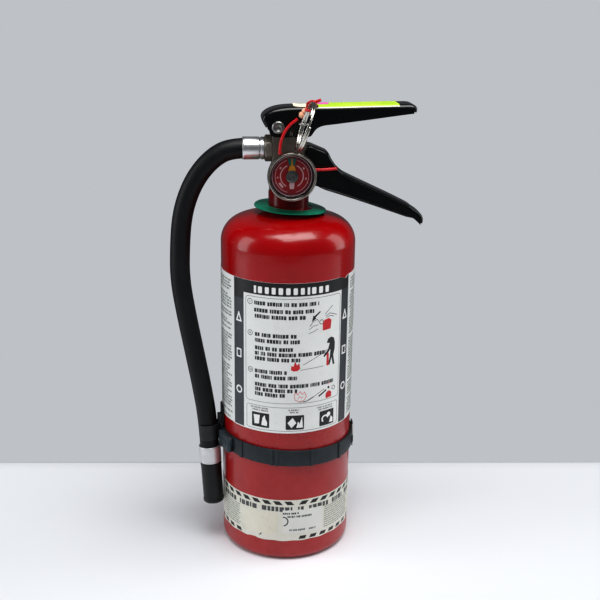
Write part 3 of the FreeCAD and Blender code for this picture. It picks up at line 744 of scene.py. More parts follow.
def channel(name, top, low, half, thick, rc, mat, body, replaces, cutters=(), rc_end=1.2, rim=0.45):
    """A U of pressed sheet: top is the web's outline in (x, z) from one end to the other, low the flanges' free edge back again.
    The web meets each flange in a bend of radius rc, which gets smaller towards both ends."""
    top = relax(resample(top, 1.3), 3)
    n = len(top)
    rows, total = [], arclen(top)
    run = 0.0
    inner = []
    for i, p in enumerate(top):
        if i:
            run += math.dist(top[i - 1], p)
        a, b = Vector(top[max(0, i - 1)]), Vector(top[min(n - 1, i + 1)])
        t = (b - a).normalized()
        nrm = Vector((t.y, -t.x))                    # to the right of travel, into the channel
        edge = min(run, total - run)
        r = rc_end + (rc - rc_end) * min(1.0, edge / 9.0)
        row = []
        for k in range(7):
            w = PI / 2 * k / 6
            d = r - r * math.sin(w)
            y = half - r + r * math.cos(w)
            q = Vector(p) + nrm * d
            row.append((q.x, -y, q.y))
        for k in range(1, 6):
            y = (half - r) * (1 - 2 * k / 6)
            crown = 0.25 * (1 - (y / (half - r)) ** 2)
            q = Vector(p) - nrm * crown * 0.4
            row.append((q.x, -y, q.y))
        for k in range(7):
            w = PI / 2 * (1 - k / 6)
            d = r - r * math.sin(w)
            y = half - r + r * math.cos(w)
            q = Vector(p) + nrm * d
            row.append((q.x, y, q.y))
        rows.append(row)
        inner.append(tuple(Vector(p) + nrm * r))
    bm = bmesh.new()
    grid = [[bm.verts.new([c * MM for c in v]) for v in row] for row in rows]
    for i in range(n - 1):
        for k in range(len(rows[0]) - 1):
            bm.faces.new((grid[i][k], grid[i + 1][k], grid[i + 1][k + 1], grid[i][k + 1]))
    low_pts = relax(resample(low, 1.6), 2)
    for col, y in ((0, -half), (-1, half)):
        loop = [grid[i][col] for i in range(n)]
        loop += [bm.verts.new((p[0] * MM, y * MM, p[1] * MM)) for p in low_pts]
        f = bm.faces.new(loop)
        bmesh.ops.triangulate(bm, faces=[f], ngon_method="BEAUTY")
    bmesh.ops.recalc_face_normals(bm, faces=bm.faces)
    # face normals must point away from the channel's inside
    mid = grid[n // 2][9].co + Vector((0, 0, -0.004))
    test = min(bm.faces, key=lambda f: (f.calc_center_median() - grid[n // 2][9].co).length)
    if test.normal.dot(test.calc_center_median() - mid) < 0:
        bmesh.ops.reverse_faces(bm, faces=bm.faces)
    me = bpy.data.meshes.new(name)
    bm.to_mesh(me)
    bm.free()
    o = bpy.data.objects.new(name, me)
    SC.collection.objects.link(o)
    m = o.modifiers.new("thick", "SOLIDIFY")
    m.thickness = thick * MM
    m.offset = -1
    m.use_even_offset = True
    m.use_rim = True
    apply_mods(o)
    for c in cutters:
        boolean(o, c)
    if rim:
        bevel(o, rim, 2, 50)
    for p in o.data.polygons:
        p.use_smooth = True
    wn = o.modifiers.new("wn", "WEIGHTED_NORMAL")
    wn.keep_sharp = False
    wn.weight = 80
    apply_mods(o)
    paint(o, mat)
    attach(o, body)
    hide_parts(*replaces)
    return o


def rod_cutter(x, z, r, half=25.0, x2=None, z2=None):
    """A round or capsule-shaped bar along Y, used to cut holes."""
    pts = []
    x2, z2 = (x, z) if x2 is None else (x2, z2)
    d = Vector((x2 - x, z2 - z))
    ang = math.atan2(d.y, d.x) if d.length > 1e-6 else 0.0
    for c, a0 in (((x2, z2), ang - PI / 2), ((x, z), ang + PI / 2)):
        for k in range(17):
            a = a0 + PI * k / 16
            pts.append((c[0] + r * math.cos(a), c[1] + r * math.sin(a)))
    n = len(pts)
    verts = [(p[0], -half, p[1]) for p in pts] + [(p[0], half, p[1]) for p in pts]
    faces = [list(range(n)), list(range(2 * n - 1, n - 1, -1))] + [[i, (i + 1) % n, n + (i + 1) % n, n + i] for i in range(n)]
    return mesh_obj("cutter", verts, faces, smooth=False)


def block_cutter(x, y, z):
    v = [(a, b, c) for a in x for b in y for c in z]
    return mesh_obj("cutter", v, [(0, 1, 3, 2), (4, 5, 7, 6), (0, 1, 5, 4), (2, 3, 7, 6), (0, 2, 6, 4), (1, 3, 7, 5)], smooth=False)


lever_top = [(-18.9, 353.0), (-20.4, 355.4), (-22.0, 358.6), (-21.9, 360.6), (-20.6, 362.8), (-17.4, 365.1), (-13.6, 366.8), (-9.0, 368.0), (-3.0, 368.7), (4.0, 369.0),
             (32.0, 369.5), (85.0, 370.9), (92.4, 371.1), (95.6, 370.7), (97.9, 368.9), (98.3, 366.4), (97.2, 364.5)]
lever_low = [(95.4, 363.9), (91.5, 363.5), (55.5, 358.6), (34.8, 355.9), (26.0, 354.9), (22.4, 354.0), (19.6, 352.2), (17.6, 349.6), (16.4, 347.2), (15.6, 346.1),
             (12.0, 345.9), (0.0, 345.9), (-13.8, 345.9), (-16.0, 348.6)]
lever = channel("lever_pressed", lever_top, lever_low, 13.2, 1.8, 4.0, M_BLACK, "lever", ("operating_lever",),
                rc_end=2.3, cutters=[rod_cutter(-9.6, 353.3, 2.6), rod_cutter(9.0, 357.0, 2.75, 25.0, 9.6, 361.4)])

handle_top = [(13.0, 338.6), (15.4, 339.6), (30.4, 333.4), (32.2, 328.8), (37.6, 321.2), (42.2, 316.9), (52.6, 311.8), (68.0, 304.6), (83.6, 297.3),
              (97.0, 290.6), (100.6, 287.6), (103.6, 286.0), (106.6, 283.2), (107.8, 279.6), (107.0, 276.6)]
handle_low = [(105.4, 275.4), (103.4, 277.2), (99.2, 281.2), (88.0, 285.2), (76.4, 289.2), (53.2, 297.4), (21.1, 307.6), (13.0, 309.0), (11.2, 310.6), (11.2, 323.0), (11.2, 335.0)]
handle = channel("carry_handle_pressed", handle_top, handle_low, 11.1, 1.75, 3.2, M_BLACK, "root", ("carry_handle",),
                 cutters=[rod_cutter(13.2, 312.5, 2.25), rod_cutter(13.2, 322.5, 2.25),
                          block_cutter((31.6, 41.2), (-7.4, 7.4), (300.0, 345.0))], rc_end=2.3)


# a rolled lip along the handle's lower edge, one on each flange
for sgn, nm in ((-1, "front"), (1, "back")):
    lip = [(22.5, sgn * 11.3, 307.0), (40.0, sgn * 11.5, 301.5), (60.0, sgn * 11.5, 294.9), (80.0, sgn * 11.5, 287.9), (92.0, sgn * 11.4, 283.7), (99.0, sgn * 11.2, 281.2)]
    sweep("handle_lip_" + nm, smooth_line(lip, 10), 0.8, seg=12, mat=M_BLACK, body="root", slot="lever_paint", rfun=lambda s, t, r: max(0.12, min(1.0, s / 5.0, (80.0 - s) / 5.0)))


# ------------------------------------------------------------------ rivets and pin
def rivet_head(name, x, z, y, sgn, r, t, dimple, body):
    """Domed rivet head on the flange at y, facing sgn * Y."""
    if dimple:
        pr = [(0.0, 0.0), (r, 0.0), (r, t * 0.45), (r * 0.86, t * 0.88), (r * 0.66, t), (dimple + 0.3, t), (dimple - 0.1, t * 0.72), (dimple * 0.5, t * 0.42), (0.0, t * 0.4)]
    else:
        pr = [(0.0, 0.0), (r, 0.0), (r * 0.96, t * 0.5), (r * 0.75, t * 0.85), (r * 0.4, t * 1.02), (0.0, t * 1.06)]
    return lathe(name, fillet(pr, 0.25, 3, False), origin=(x, y, z), axis=(0, sgn, 0), seg=64, closed=False, mat=M_STEEL, body=body, slot="rivet_steel")


def shank(name, x, z, r, half, body):
    pr = fillet([(0.0, -half), (r, -half), (r, half), (0.0, half)], 0.2, 2, False)
    return lathe(name, pr, origin=(x, 0, z), axis=(0, 1, 0), seg=48, closed=False, mat=M_STEEL, body=body, slot="rivet_steel")


piv = [rivet_head("pivot_head_front", -9.6, 353.3, -13.3, -1, 4.9, 2.0, 2.6, "root"), rivet_head("pivot_head_back", -9.6, 353.3, 13.3, 1, 4.9, 2.0, 2.6, "root"),
       shank("pivot_shank", -9.6, 353.3, 2.48, 13.3, "root")]
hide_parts("lever_pivot_rivet")
k = 0
for hz in (312.5, 322.5):
    k += 1
    rivet_head(f"handle_rivet_front_{k}", 13.2, hz, -11.2, -1, 3.9, 1.9, 0, "root")
    rivet_head(f"handle_rivet_back_{k}", 13.2, hz, 11.2, 1, 3.9, 1.9, 0, "root")
    shank(f"handle_rivet_shank_{k}", 13.2, hz, 2.15, 11.2, "root")
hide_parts("handle_rivets")

pinp = [(0.0, -16.9), (1.9, -16.9), (2.35, -16.4), (2.35, 15.3), (2.1, 16.0), (1.3, 16.8), (0.0, 16.9)]
pin = lathe("pin_shaft", fillet(pinp, 0.2, 3, False), origin=(9.0, 0, 357.0), axis=(0, 1, 0), seg=48, closed=False, mat=M_STEEL, body="pin", slot="rivet_steel")
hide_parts("pull_pin")
eye = []
for i in range(60):
    a = 2 * PI * i / 60
    eye.append((9.0 + 3.05 * math.cos(a), -20.0 + 3.05 * math.sin(a), 357.0))
sweep("pin_eye", eye, 1.0, seg=20, closed=True, mat=M_STEEL, body="pin", slot="rivet_steel")

# ------------------------------------------------------------------ split pull ring
EYE = Vector((9.0, -20.0, 357.0))
yaw, tilt = math.radians(-1.2), math.radians(18.0)
rf = Vector((math.sin(yaw), -math.cos(yaw), 0))
rs = Vector((math.cos(yaw), math.sin(yaw), 0))
rn = rs * math.cos(tilt) - Vector((0, 0, 1)) * math.sin(tilt)
ru = rs * math.sin(tilt) + Vector((0, 0, 1)) * math.cos(tilt)
rcent = EYE + rf * 18.6
coil = []
turns, steps = 1.93, 220
for i in range(steps + 1):
    a = 2 * PI * turns * i / steps + math.radians(35)
    s = i / steps
    ax = -0.83 + 1.66 * (0.0 if s < 0.44 else 1.0 if s > 0.56 else (lambda w: w * w * (3 - 2 * w))((s - 0.44) / 0.12))
    coil.append(rcent + rf * (18.6 * math.cos(a)) + ru * (18.6 * math.sin(a)) + rn * ax)
rg = sweep("split_ring", coil, 0.93, seg=20, mat=M_CHROME, body="ring", slot="ring_chrome")
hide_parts("pull_ring")


def on_ring(a, r=18.6, n=0.0):
    return rcent - rf * (r * math.cos(math.radians(a))) + ru * (r * math.sin(math.radians(a))) + rn * n


# ------------------------------------------------------------------ tamper seal
lock_c = Vector((9.5, -16.9, 364.6))
ld = Vector((0.62, -0.05, 0.78)).normalized()
lkp = [(0.0, -4.1), (1.6, -4.1), (2.1, -3.7), (2.1, -3.0), (2.8, -2.7), (2.9, -1.0), (2.2, -0.5), (2.2, 0.3), (2.9, 0.8), (2.8, 2.5), (2.1, 2.9), (2.1, 3.6), (1.5, 4.1), (0.0, 4.2)]
lk = lathe("seal_lock_head", fillet(lkp, 0.35, 3, False), origin=lock_c, axis=ld, seg=48, closed=False, mat=M_SEAL_PEACH, body="ring", slot="seal_lock_plastic")
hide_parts("seal_lock")
top = on_ring(58.0)
lp = [tuple(lock_c + ld * 4.2), (11.6, -18.6, 370.6), tuple(on_ring(50, 21.2, -2.6)), tuple(on_ring(60, 22.0, -0.4)), tuple(on_ring(63, 21.6, 2.6)),
      tuple(on_ring(58, 18.2, 3.4)), tuple(on_ring(52, 15.4, 2.0)), tuple(on_ring(48, 15.2, -1.0)), tuple(on_ring(40, 17.0, -3.2)), tuple(lock_c + ld * 3.0 + Vector((1.6, -1.2, 0.2)))]
sl = sweep("seal_loop_strand", smooth_line(lp, 14), 0.95, seg=16, mat=M_SEAL_RED, body="ring", slot="seal_plastic")
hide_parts("seal_loop")
nub = [tuple(on_ring(61, 21.0, 1.2)), tuple(on_ring(64, 22.2, 3.4)), tuple(on_ring(68, 23.6, 5.4))]
sweep("seal_nub", smooth_line(nub, 8), 1.15, seg=16, mat=M_SEAL_RED, body="ring", slot="seal_plastic")
strand = [(4.9, -16.6, 360.3), (3.7, -16.6, 359.3), (-0.6, -16.4, 356.2), (-5.0, -16.3, 350.6), (-7.6, -16.3, 343.6), (-8.6, -16.4, 336.6), (-8.4, -16.2, 330.6),
          (-4.6, -16.2, 327.4), (1.0, -16.2, 327.2), (6.6, -16.2, 326.6), (11.6, -16.4, 323.6), (17.4, -16.6, 321.6), (25.0, -16.2, 321.2), (36.0, -14.6, 321.9)]
ss = sweep("seal_strand_red", smooth_line(strand, 14), 1.15, seg=16, mat=M_SEAL_RED, body="root", slot="seal_plastic",
           rfun=lambda s, t, r: 1.0 + 0.05 * math.sin(s * 2.2))
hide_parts("seal_strand")

# ------------------------------------------------------------------ cast valve and moulded pieces, rounded from their CAD solids
vb = copy_node("valve_body", "valve_cast", M_CAST, voxel=0.5, smooth=4, factor=0.5, body="root")
clip = copy_node("hose_clip", "hose_clip_moulded", M_CLIP, voxel=0.42, smooth=5, factor=0.5, body="root")


def bend_strip(name, prof, a0, a1, mat, step=1.5, tilt=2.6, taper=None, **kw):
    """Closed section (radius, z) carried round the cylinder from angle a0 to a1, degrees from the front, + towards +X."""
    n = max(2, int(abs(a1 - a0) / step) + 1)
    full = abs(a1 - a0) >= 359.9
    verts, faces = [], []
    m = len(prof)
    cnt = n if full else n + 1
    for i in range(cnt):
        a = a0 + (a1 - a0) * i / n
        ar = math.radians(a)
        w = i / n
        for r, z in prof:
            rr, zz = taper(r, z, w) if taper else (r, z)
            zz = zz - tilt * math.sin(ar)
            verts.append((rr * math.sin(ar), -rr * math.cos(ar), zz))
    for i in range(cnt if full else cnt - 1):
        j = (i + 1) % cnt
        for k in range(m):
            q = (k + 1) % m
            faces.append([i * m + k, i * m + q, j * m + q, j * m + k])
    if not full:
        faces.append(list(range(m)))
        faces.append(list(range((cnt - 1) * m, cnt * m)))
    return mesh_obj(name, verts, faces, mat, **kw)


sr = 54.15
sp = fillet([(sr, 87.9), (sr + 2.0, 87.9), (sr + 2.0, 101.6), (sr, 101.6)], 0.5, 3)
strap = bend_strip("strap_band", sp, -180, 180, M_STRAP, 1.5, body="root", replaces=("hose_strap",), slot="strap_rubber")
ribs = []
for i, (a, w, h) in enumerate(((-45.6, 1.7, 0.75), (-16.8, 1.2, 0.7), (-12.5, 1.2, 0.7), (16.6, 1.0, 0.55), (46.8, 1.7, 0.8), (101.0, 1.6, 0.7), (140.0, 1.6, 0.7), (-130.0, 1.6, 0.7))):
    rp = fillet([(sr + 1.0, 87.6), (sr + 2.0 + h, 87.6), (sr + 2.0 + h, 101.9), (sr + 1.0, 101.9)], 0.4, 3)
    ribs.append(bend_strip(f"rib{i}", rp, a - w, a + w, M_STRAP, 0.9))
join_into(strap, ribs)
# loose strap end, standing off at the right
tp = fillet([(sr + 2.05, 82.8), (sr + 2.9, 82.8), (sr + 3.0, 95.0), (sr + 2.7, 103.2), (sr + 1.9, 103.3), (sr + 2.1, 95.0)], 0.35, 3)
tail = bend_strip("strap_tail", tp, 79.0, 93.0, M_STRAP, 1.0, tilt=0.0, taper=lambda r, z, w: (r, z - (1.6 * w if z > 99 else 0.0)), body="root", slot="strap_rubber")
tl = fillet([(sr + 1.0, 86.0), (sr + 3.3, 86.0), (sr + 3.3, 91.4), (sr + 1.0, 91.4)], 0.5, 3)
join_into(tail, [bend_strip("t2", tl, 78.6, 94.0, M_STRAP, 1.0, tilt=0.0)])
EDGE_CREAM = finish_simple("worn_edge_cream", rgb(206, 196, 172), rgb(224, 216, 196), (0.5, 0.7), 120, 0.0, 0.25, 600).m
te = fillet([(sr + 2.3, 92.4), (sr + 2.75, 92.4), (sr + 2.6, 102.6), (sr + 2.1, 102.6)], 0.15, 2)
bend_strip("strap_tail_worn_edge", te, 78.5, 79.05, EDGE_CREAM, 0.4, tilt=0.0, body="root", slot="sticker_paper")
# buckle block at the left
b0, b1 = sr + 2.05, sr + 5.6
bk = fillet([(b0, 88.6), (b1, 88.6), (b1, 101.2), (b0, 101.2)], 0.9, 4)
buck = bend_strip("strap_buckle_block", bk, -74.0, -56.0, M_BUCKLE, 1.2, body="root", replaces=("strap_buckle",), slot="black_plastic")
extra = []
for i, (a, w) in enumerate(((-71.6, 1.3), (-58.6, 1.3))):
    rp = fillet([(b1 - 1.0, 88.0), (b1 + 0.5, 88.0), (b1 + 0.5, 101.8), (b1 - 1.0, 101.8)], 0.4, 3)
    extra.append(bend_strip(f"bb{i}", rp, a - w, a + w, M_BUCKLE, 0.8))
rp = fillet([(b1 - 1.0, 93.0), (b1 + 0.35, 93.0), (b1 + 0.35, 96.8), (b1 - 1.0, 96.8)], 0.4, 3)
extra.append(bend_strip("bb9", rp, -69.0, -61.0, M_BUCKLE, 0.8))
join_into(buck, extra)

# ------------------------------------------------------------------ gauge
GZ = 318.6
GO = (0.0, 0.0, GZ)
GA = (0.0, -1.0, 0.0)          # heights below count forward from y = 0
case = [(0.0, 20.0), (16.9, 20.0), (18.1, 21.2), (18.1, 27.4), (18.1, 30.8), (17.2, 30.8), (17.0, 21.6), (0.0, 21.4)]
lathe("gauge_can", fillet(case, 0.6, 4, False), origin=GO, axis=GA, seg=128, closed=False, mat=M_BEZEL, body="root", replaces=("gauge_case",), slot="gauge_metal")
lathe("gauge_stem", fillet([(0.0, 7.6), (4.7, 7.6), (4.7, 20.0), (0.0, 20.0)], 0.3, 3, False), origin=GO, axis=GA, seg=48, closed=False, mat=M_BRASS, body="root", slot="gauge_metal")


def hexed(r, h, t):
    if r < 5.0:
        return r, h
    return min(r, 5.75 / max(0.5, math.cos(((t + PI / 6) % (PI / 3)) - PI / 6))), h


lathe("gauge_hex", fillet([(4.6, 12.4), (5.9, 12.4), (6.6, 13.0), (6.6, 19.2), (5.9, 19.9), (4.6, 19.9)], 0.3, 3), origin=GO, axis=GA, seg=96, mat=M_BRASS, wobble=hexed, body="root", slot="gauge_metal")
bez = [(18.1, 27.4), (18.55, 27.1), (18.8, 27.6), (18.8, 31.6), (18.4, 32.7), (17.7, 33.0), (17.0, 32.8), (16.6, 32.2), (16.6, 31.95), (18.1, 31.9)]
lathe("gauge_bezel_ring", fillet(bez, 0.5, 4), origin=GO, axis=GA, seg=160, mat=M_BEZEL, body="root", replaces=("gauge_bezel",), slot="gauge_metal")
M_INNER = finish_simple("gauge_inner_black", rgb(12, 12, 14), rgb(22, 22, 25), (0.35, 0.5), 90, 0.0, 0.1, 500).m
M_DIAL = finish_simple("dial_red", rgb(138, 2, 14), rgb(158, 6, 20), (0.45, 0.6), 50, 0.0, 0.06, 500).m
M_DIAL_RIM = finish_simple("dial_plum", rgb(78, 26, 44), rgb(96, 36, 56), (0.35, 0.5), 50, 0.0, 0.06, 500).m
M_DIAL_GREEN = finish_simple("dial_green", rgb(18, 92, 84), rgb(30, 112, 98), (0.35, 0.5), 60, 0.0, 0.06, 500).m
M_DIAL_PALE = finish_simple("dial_pale", rgb(206, 160, 164), rgb(224, 186, 188), (0.4, 0.55), 90, 0.0, 0.06, 500).m
M_AMBER = finish_simple("needle_amber", rgb(196, 122, 24), rgb(216, 146, 40), (0.3, 0.45), 120, 0.0, 0.06, 500).m
ins = [(17.0, 21.8), (17.0, 30.9), (16.7, 30.9), (16.5, 30.4), (15.6, 28.2), (15.2, 27.75), (15.0, 27.65), (15.3, 27.2), (16.9, 21.8)]
lathe("gauge_inner_ring", fillet(ins, 0.2, 2), origin=GO, axis=GA, seg=128, mat=M_INNER, body="root", slot="gauge_metal")
lathe("gauge_thin_ring", fillet([(15.05, 27.95), (15.45, 28.1), (15.4, 28.4), (15.0, 28.25)], 0.08, 2), origin=GO, axis=GA, seg=128, mat=M_DIAL_PALE, body="root", slot="gauge_metal")
dial = lathe("dial_plate", fillet([(1.6, 27.0), (15.4, 27.0), (15.4, 27.6), (1.6, 27.6)], 0.1, 2), origin=GO, axis=GA, seg=128, mat=M_DIAL, body="root", replaces=("gauge_dial",), slot="dial_print")


def dial_arc(name, r0, r1, a0, a1, h, mat, steps=24):
    """Thin raised print on the dial between radii and clock angles, degrees from the top, + towards +X."""
    verts, faces = [], []
    for lay in (h, h + 0.05):
        for i in range(steps + 1):
            a = math.radians(a0 + (a1 - a0) * i / steps)
            for r in (r0, r1):
                verts.append((r * math.sin(a), -lay, GZ + r * math.cos(a)))
    m = 2 * (steps + 1)
    for i in range(steps):
        a, b, c, d = 2 * i, 2 * i + 1, 2 * i + 3, 2 * i + 2
        faces += [[a, b, c, d], [a + m, b + m, c + m, d + m], [a, d, d + m, a + m], [b, c, c + m, b + m]]
    faces += [[0, 1, 1 + m, m], [2 * steps, 2 * steps + 1, 2 * steps + 1 + m, 2 * steps + m]]
    return mesh_obj(name, verts, faces, mat, smooth=False)


prints = {"plum": (M_DIAL_RIM, [(13.9, 15.2, -180, 180, 27.61, 90)]),
          "green": (M_DIAL_GREEN, [(8.2, 13.7, -15, 15, 27.62, 12)]),
          "pale": (M_DIAL_PALE, [(8.4, 9.1, -150, -24, 27.66, 40), (8.4, 9.1, 24, 150, 27.66, 40), (12.6, 12.95, -165, -18, 27.66, 44), (12.6, 12.95, 18, 165, 27.66, 44),
                                 (9.8, 13.0, -0.8, 0.8, 27.70, 2), (10.2, 11.4, -58, -50, 27.66, 4), (10.2, 11.4, 52, 60, 27.66, 4), (10.0, 11.5, -142, -118, 27.66, 8),
                                 (10.4, 11.4, 96, 104, 27.66, 4), (10.4, 11.4, -98, -92, 27.66, 4), (13.0, 13.5, 66, 69, 27.66, 2), (13.0, 13.5, -69, -66, 27.66, 2),
                                 (13.0, 13.5, 112, 115, 27.66, 2), (13.0, 13.5, -115, -112, 27.66, 2)])}
for key, (mat, arcs) in prints.items():
    obs = [dial_arc(f"dial_{key}", *a[:5], mat, a[5]) for a in arcs]
    first = obs[0]
    first.name = "dial_print_" + key
    if len(obs) > 1:
        join_into(first, obs[1:])
        for p in first.data.polygons:
            p.use_smooth = False
    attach(first, "root")

hub = lathe("gauge_hub_cap", fillet([(0.0, 29.2), (4.6, 29.2), (4.8, 29.5), (4.6, 30.1), (3.4, 30.5), (1.6, 30.6), (1.4, 30.2), (0.0, 30.1)], 0.2, 3, False), origin=GO, axis=GA, seg=72,
            closed=False, mat=M_HUB, body="root", replaces=("gauge_hub",), slot="hub_grey")
lathe("gauge_arbor", fillet([(0.0, 26.4), (0.95, 26.4), (0.95, 29.3), (0.0, 29.3)], 0.1, 2, False), origin=GO, axis=GA, seg=32, closed=False, mat=M_HUB, body="root", slot="hub_grey")


def flat_xz(name, pts, y0, y1, mat, r=0.15, **kw):
    pts = fillet(pts, r, 3)
    n = len(pts)
    verts = [(p[0], y0, p[1]) for p in pts] + [(p[0], y1, p[1]) for p in pts]
    faces = [list(range(n)), list(range(2 * n - 1, n - 1, -1))] + [[i, (i + 1) % n, n + (i + 1) % n, n + i] for i in range(n)]
    return mesh_obj(name, verts, faces, mat, smooth=False, **kw)


nd1 = flat_xz("needle_pointer", [(-3.0, GZ + 4.2), (3.0, GZ + 4.2), (1.9, GZ + 7.6), (0.55, GZ + 8.4), (0.35, GZ + 13.4), (-0.35, GZ + 13.4), (-0.55, GZ + 8.4), (-1.9, GZ + 7.6)],
              -28.9, -28.4, M_AMBER, 0.25)
nd2 = lathe("needle_boss", fillet([(1.02, 28.2), (3.6, 28.2), (3.6, 28.9), (1.02, 28.9)], 0.15, 2), origin=GO, axis=GA, seg=48, mat=M_AMBER)
nd3 = flat_xz("needle_tail", [(-1.3, GZ - 3.0), (1.3, GZ - 3.0), (2.0, GZ - 6.0), (1.5, GZ - 9.6), (-1.5, GZ - 9.6), (-2.0, GZ - 6.0)], -28.85, -28.4, M_DIAL_PALE, 0.4)
for o, first in ((nd1, True), (nd2, False), (nd3, False)):
    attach(o, "needle")
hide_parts("gauge_needle")

gl = G("lens_clear")
gl.set(Base_Color=(0.02, 0.02, 0.02, 1), Roughness=0.03, IOR=1.45, Alpha=0.07)
gl.b.inputs["Specular IOR Level"].default_value = 0.5
gl.b.inputs["Coat Weight"].default_value = 0.0
gl.b.inputs["Coat Roughness"].default_value = 0.02
gl.bump(gl.noise(90, 3, 0.5), 0.02, 0.0002)
lens = [(0.0, 31.0), (17.0, 31.0), (17.0, 31.8), (16.4, 31.85)] + [(16.4 * (1 - i / 10), 31.85 + 0.55 * (1 - (1 - i / 10) ** 2)) for i in range(1, 11)]
lathe("gauge_window", lens, origin=GO, axis=GA, seg=96, closed=False, mat=gl.m, body="root", replaces=("gauge_lens",), slot="gauge_lens")

# ------------------------------------------------------------------ hidden working pieces keep their CAD form and get their own finish
for node, mat in (("valve_stem", M_BRASS), ("hose_insert", M_BRASS), ("stem_spring", M_SPRING), ("stem_o_ring", M_SEALR), ("neck_o_ring", M_SEALR),
                  ("stem_seat_seal", M_SEALR), ("coupling_gasket", M_SEALR), ("siphon_tube", M_SIPHON), ("dry_chemical_charge", M_POWDER),
                  ("gauge_bourdon_tube", M_BRASS)):
    paint(N[node], mat)

# ------------------------------------------------------------------ printed labels, drawn flat and wrapped round the cylinder
DEG = PI / 180
LC = 2.3                         # the label's middle, degrees from the front


class Sheet:
    """Flat artwork in (angle in degrees from the front, z in mm), wrapped at a radius."""

    def __init__(self, r):
        self.r = r
        self.polys = []

    def poly(self, pts):
        self.polys.append([(float(a), float(z)) for a, z in pts])

    def box(self, a0, a1, z0, z1, round_=0.0, steps=4):
        pts = [(a0, z0), (a1, z0), (a1, z1), (a0, z1)]
        if round_:
            k = self.r * DEG
            pts = [(p[0] / k, p[1]) for p in fillet([(a * k, z) for a, z in pts], round_, steps)]
        self.poly(pts)

    def disc(self, a, z, r, n=18, squash=1.0):
        k = self.r * DEG
        self.poly([(a + r * math.cos(2 * PI * i / n) / k, z + squash * r * math.sin(2 * PI * i / n)) for i in range(n)])

    def line(self, pts, w):
        """Stroke of width w mm along points, made of one box per run."""
        k = self.r * DEG
        for i in range(len(pts) - 1):
            a, b = Vector((pts[i][0] * k, pts[i][1])), Vector((pts[i + 1][0] * k, pts[i + 1][1]))
            d = (b - a)
            if d.length < 1e-6:
                continue
            d.normalize()
            nn = Vector((-d.y, d.x)) * w / 2
            e = d * w * 0.35
            self.poly([((q.x) / k, q.y) for q in (a - nn - e, b - nn + e, b + nn + e, a + nn - e)])

    def ring(self, a, z, r, w, n=28, a0=0.0, a1=360.0):
        k = self.r * DEG
        pts = [(a + r * math.cos(math.radians(a0 + (a1 - a0) * i / n)) / k, z + r * math.sin(math.radians(a0 + (a1 - a0) * i / n))) for i in range(n + 1)]
        self.line(pts, w)

    def frame(self, a0, a1, z0, z1, w, round_=2.0):
        k = self.r * DEG
        pts = fillet([(a0 * k, z0), (a1 * k, z0), (a1 * k, z1), (a0 * k, z1)], round_, 5)
        pts.append(pts[0])
        out = []
        for i in range(len(pts) - 1):
            a, b = Vector(pts[i]), Vector(pts[i + 1])
            n = max(1, int((b - a).length / 2.5))
            for j in range(n):
                out.append(tuple(a + (b - a) * j / n))
        out.append(pts[0])
        self.line([(p[0] / k, p[1]) for p in out], w)

    def words(self, a0, a1, z, h, seed, gap=0.36, word=1.35, lean=0.0, fat=1.1):
        """A greeked line: plain blocks of uneven width between a0 and a1, with gaps between groups."""
        rnd = random.Random(seed)
        k = self.r * DEG
        s, end = a0 * k, a1 * k
        while s < end - 0.8:
            for _ in range(rnd.randint(2, 7)):
                w = fat * rnd.choice((1.15, 1.5, 1.7, 1.9, 0.7)) * h / 3.0
                if s + w > end:
                    break
                dz = rnd.uniform(-0.04, 0.04) * h
                self.poly([((s) / k, z + dz), ((s + w) / k, z + dz), ((s + w + lean) / k, z + h + dz), ((s + lean) / k, z + h + dz)])
                s += w + gap * h / 3.0
            s += word * h / 3.0

    def build(self, name, mat, body, thick=0.03, step=2.0, jitter=None):
        bm = bmesh.new()
        k = self.r * DEG
        for pts in self.polys:
            vs = [bm.verts.new((a * k, z, 0)) for a, z in pts]
            try:
                bm.faces.new(vs)
            except ValueError:
                pass
        lo = min(p[0] for q in self.polys for p in q)
        hi = max(p[0] for q in self.polys for p in q)
        a = math.ceil(lo / step) * step
        while a < hi:
            geom = [f for f in bm.faces if min(v.co.x for v in f.verts) < a * k - 1e-4 and max(v.co.x for v in f.verts) > a * k + 1e-4]
            if geom:
                ge = set(geom)
                for f in geom:
                    ge.update(f.edges)
                    ge.update(f.verts)
                bmesh.ops.bisect_plane(bm, geom=list(ge), plane_co=(a * k, 0, 0), plane_no=(1, 0, 0))
            a += step
        bmesh.ops.triangulate(bm, faces=[f for f in bm.faces if len(f.verts) > 4])
        for f in bm.faces:
            f.normal_update()
            if f.normal.z < 0:
                f.normal_flip()
        top = list(bm.faces)
        ret = bmesh.ops.extrude_face_region(bm, geom=top)
        moved = [g for g in ret["geom"] if isinstance(g, bmesh.types.BMVert)]
        for v in moved:
            v.co.z += thick
        for v in bm.verts:
            s, z, h = v.co
            ang = s / k * DEG
            rr = self.r + h
            if jitter:
                rr += jitter(s / k, z)
            v.co = (rr * math.sin(ang) * MM, -rr * math.cos(ang) * MM, z * MM)
        bmesh.ops.recalc_face_normals(bm, faces=bm.faces)
        me = bpy.data.meshes.new(name)
        bm.to_mesh(me)
        bm.free()
        o = bpy.data.objects.new(name, me)
        SC.collection.objects.link(o)
        me.materials.append(mat)
        for p in me.polygons:
            p.use_smooth = False
        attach(o, body)
        return o


R0 = 54.07
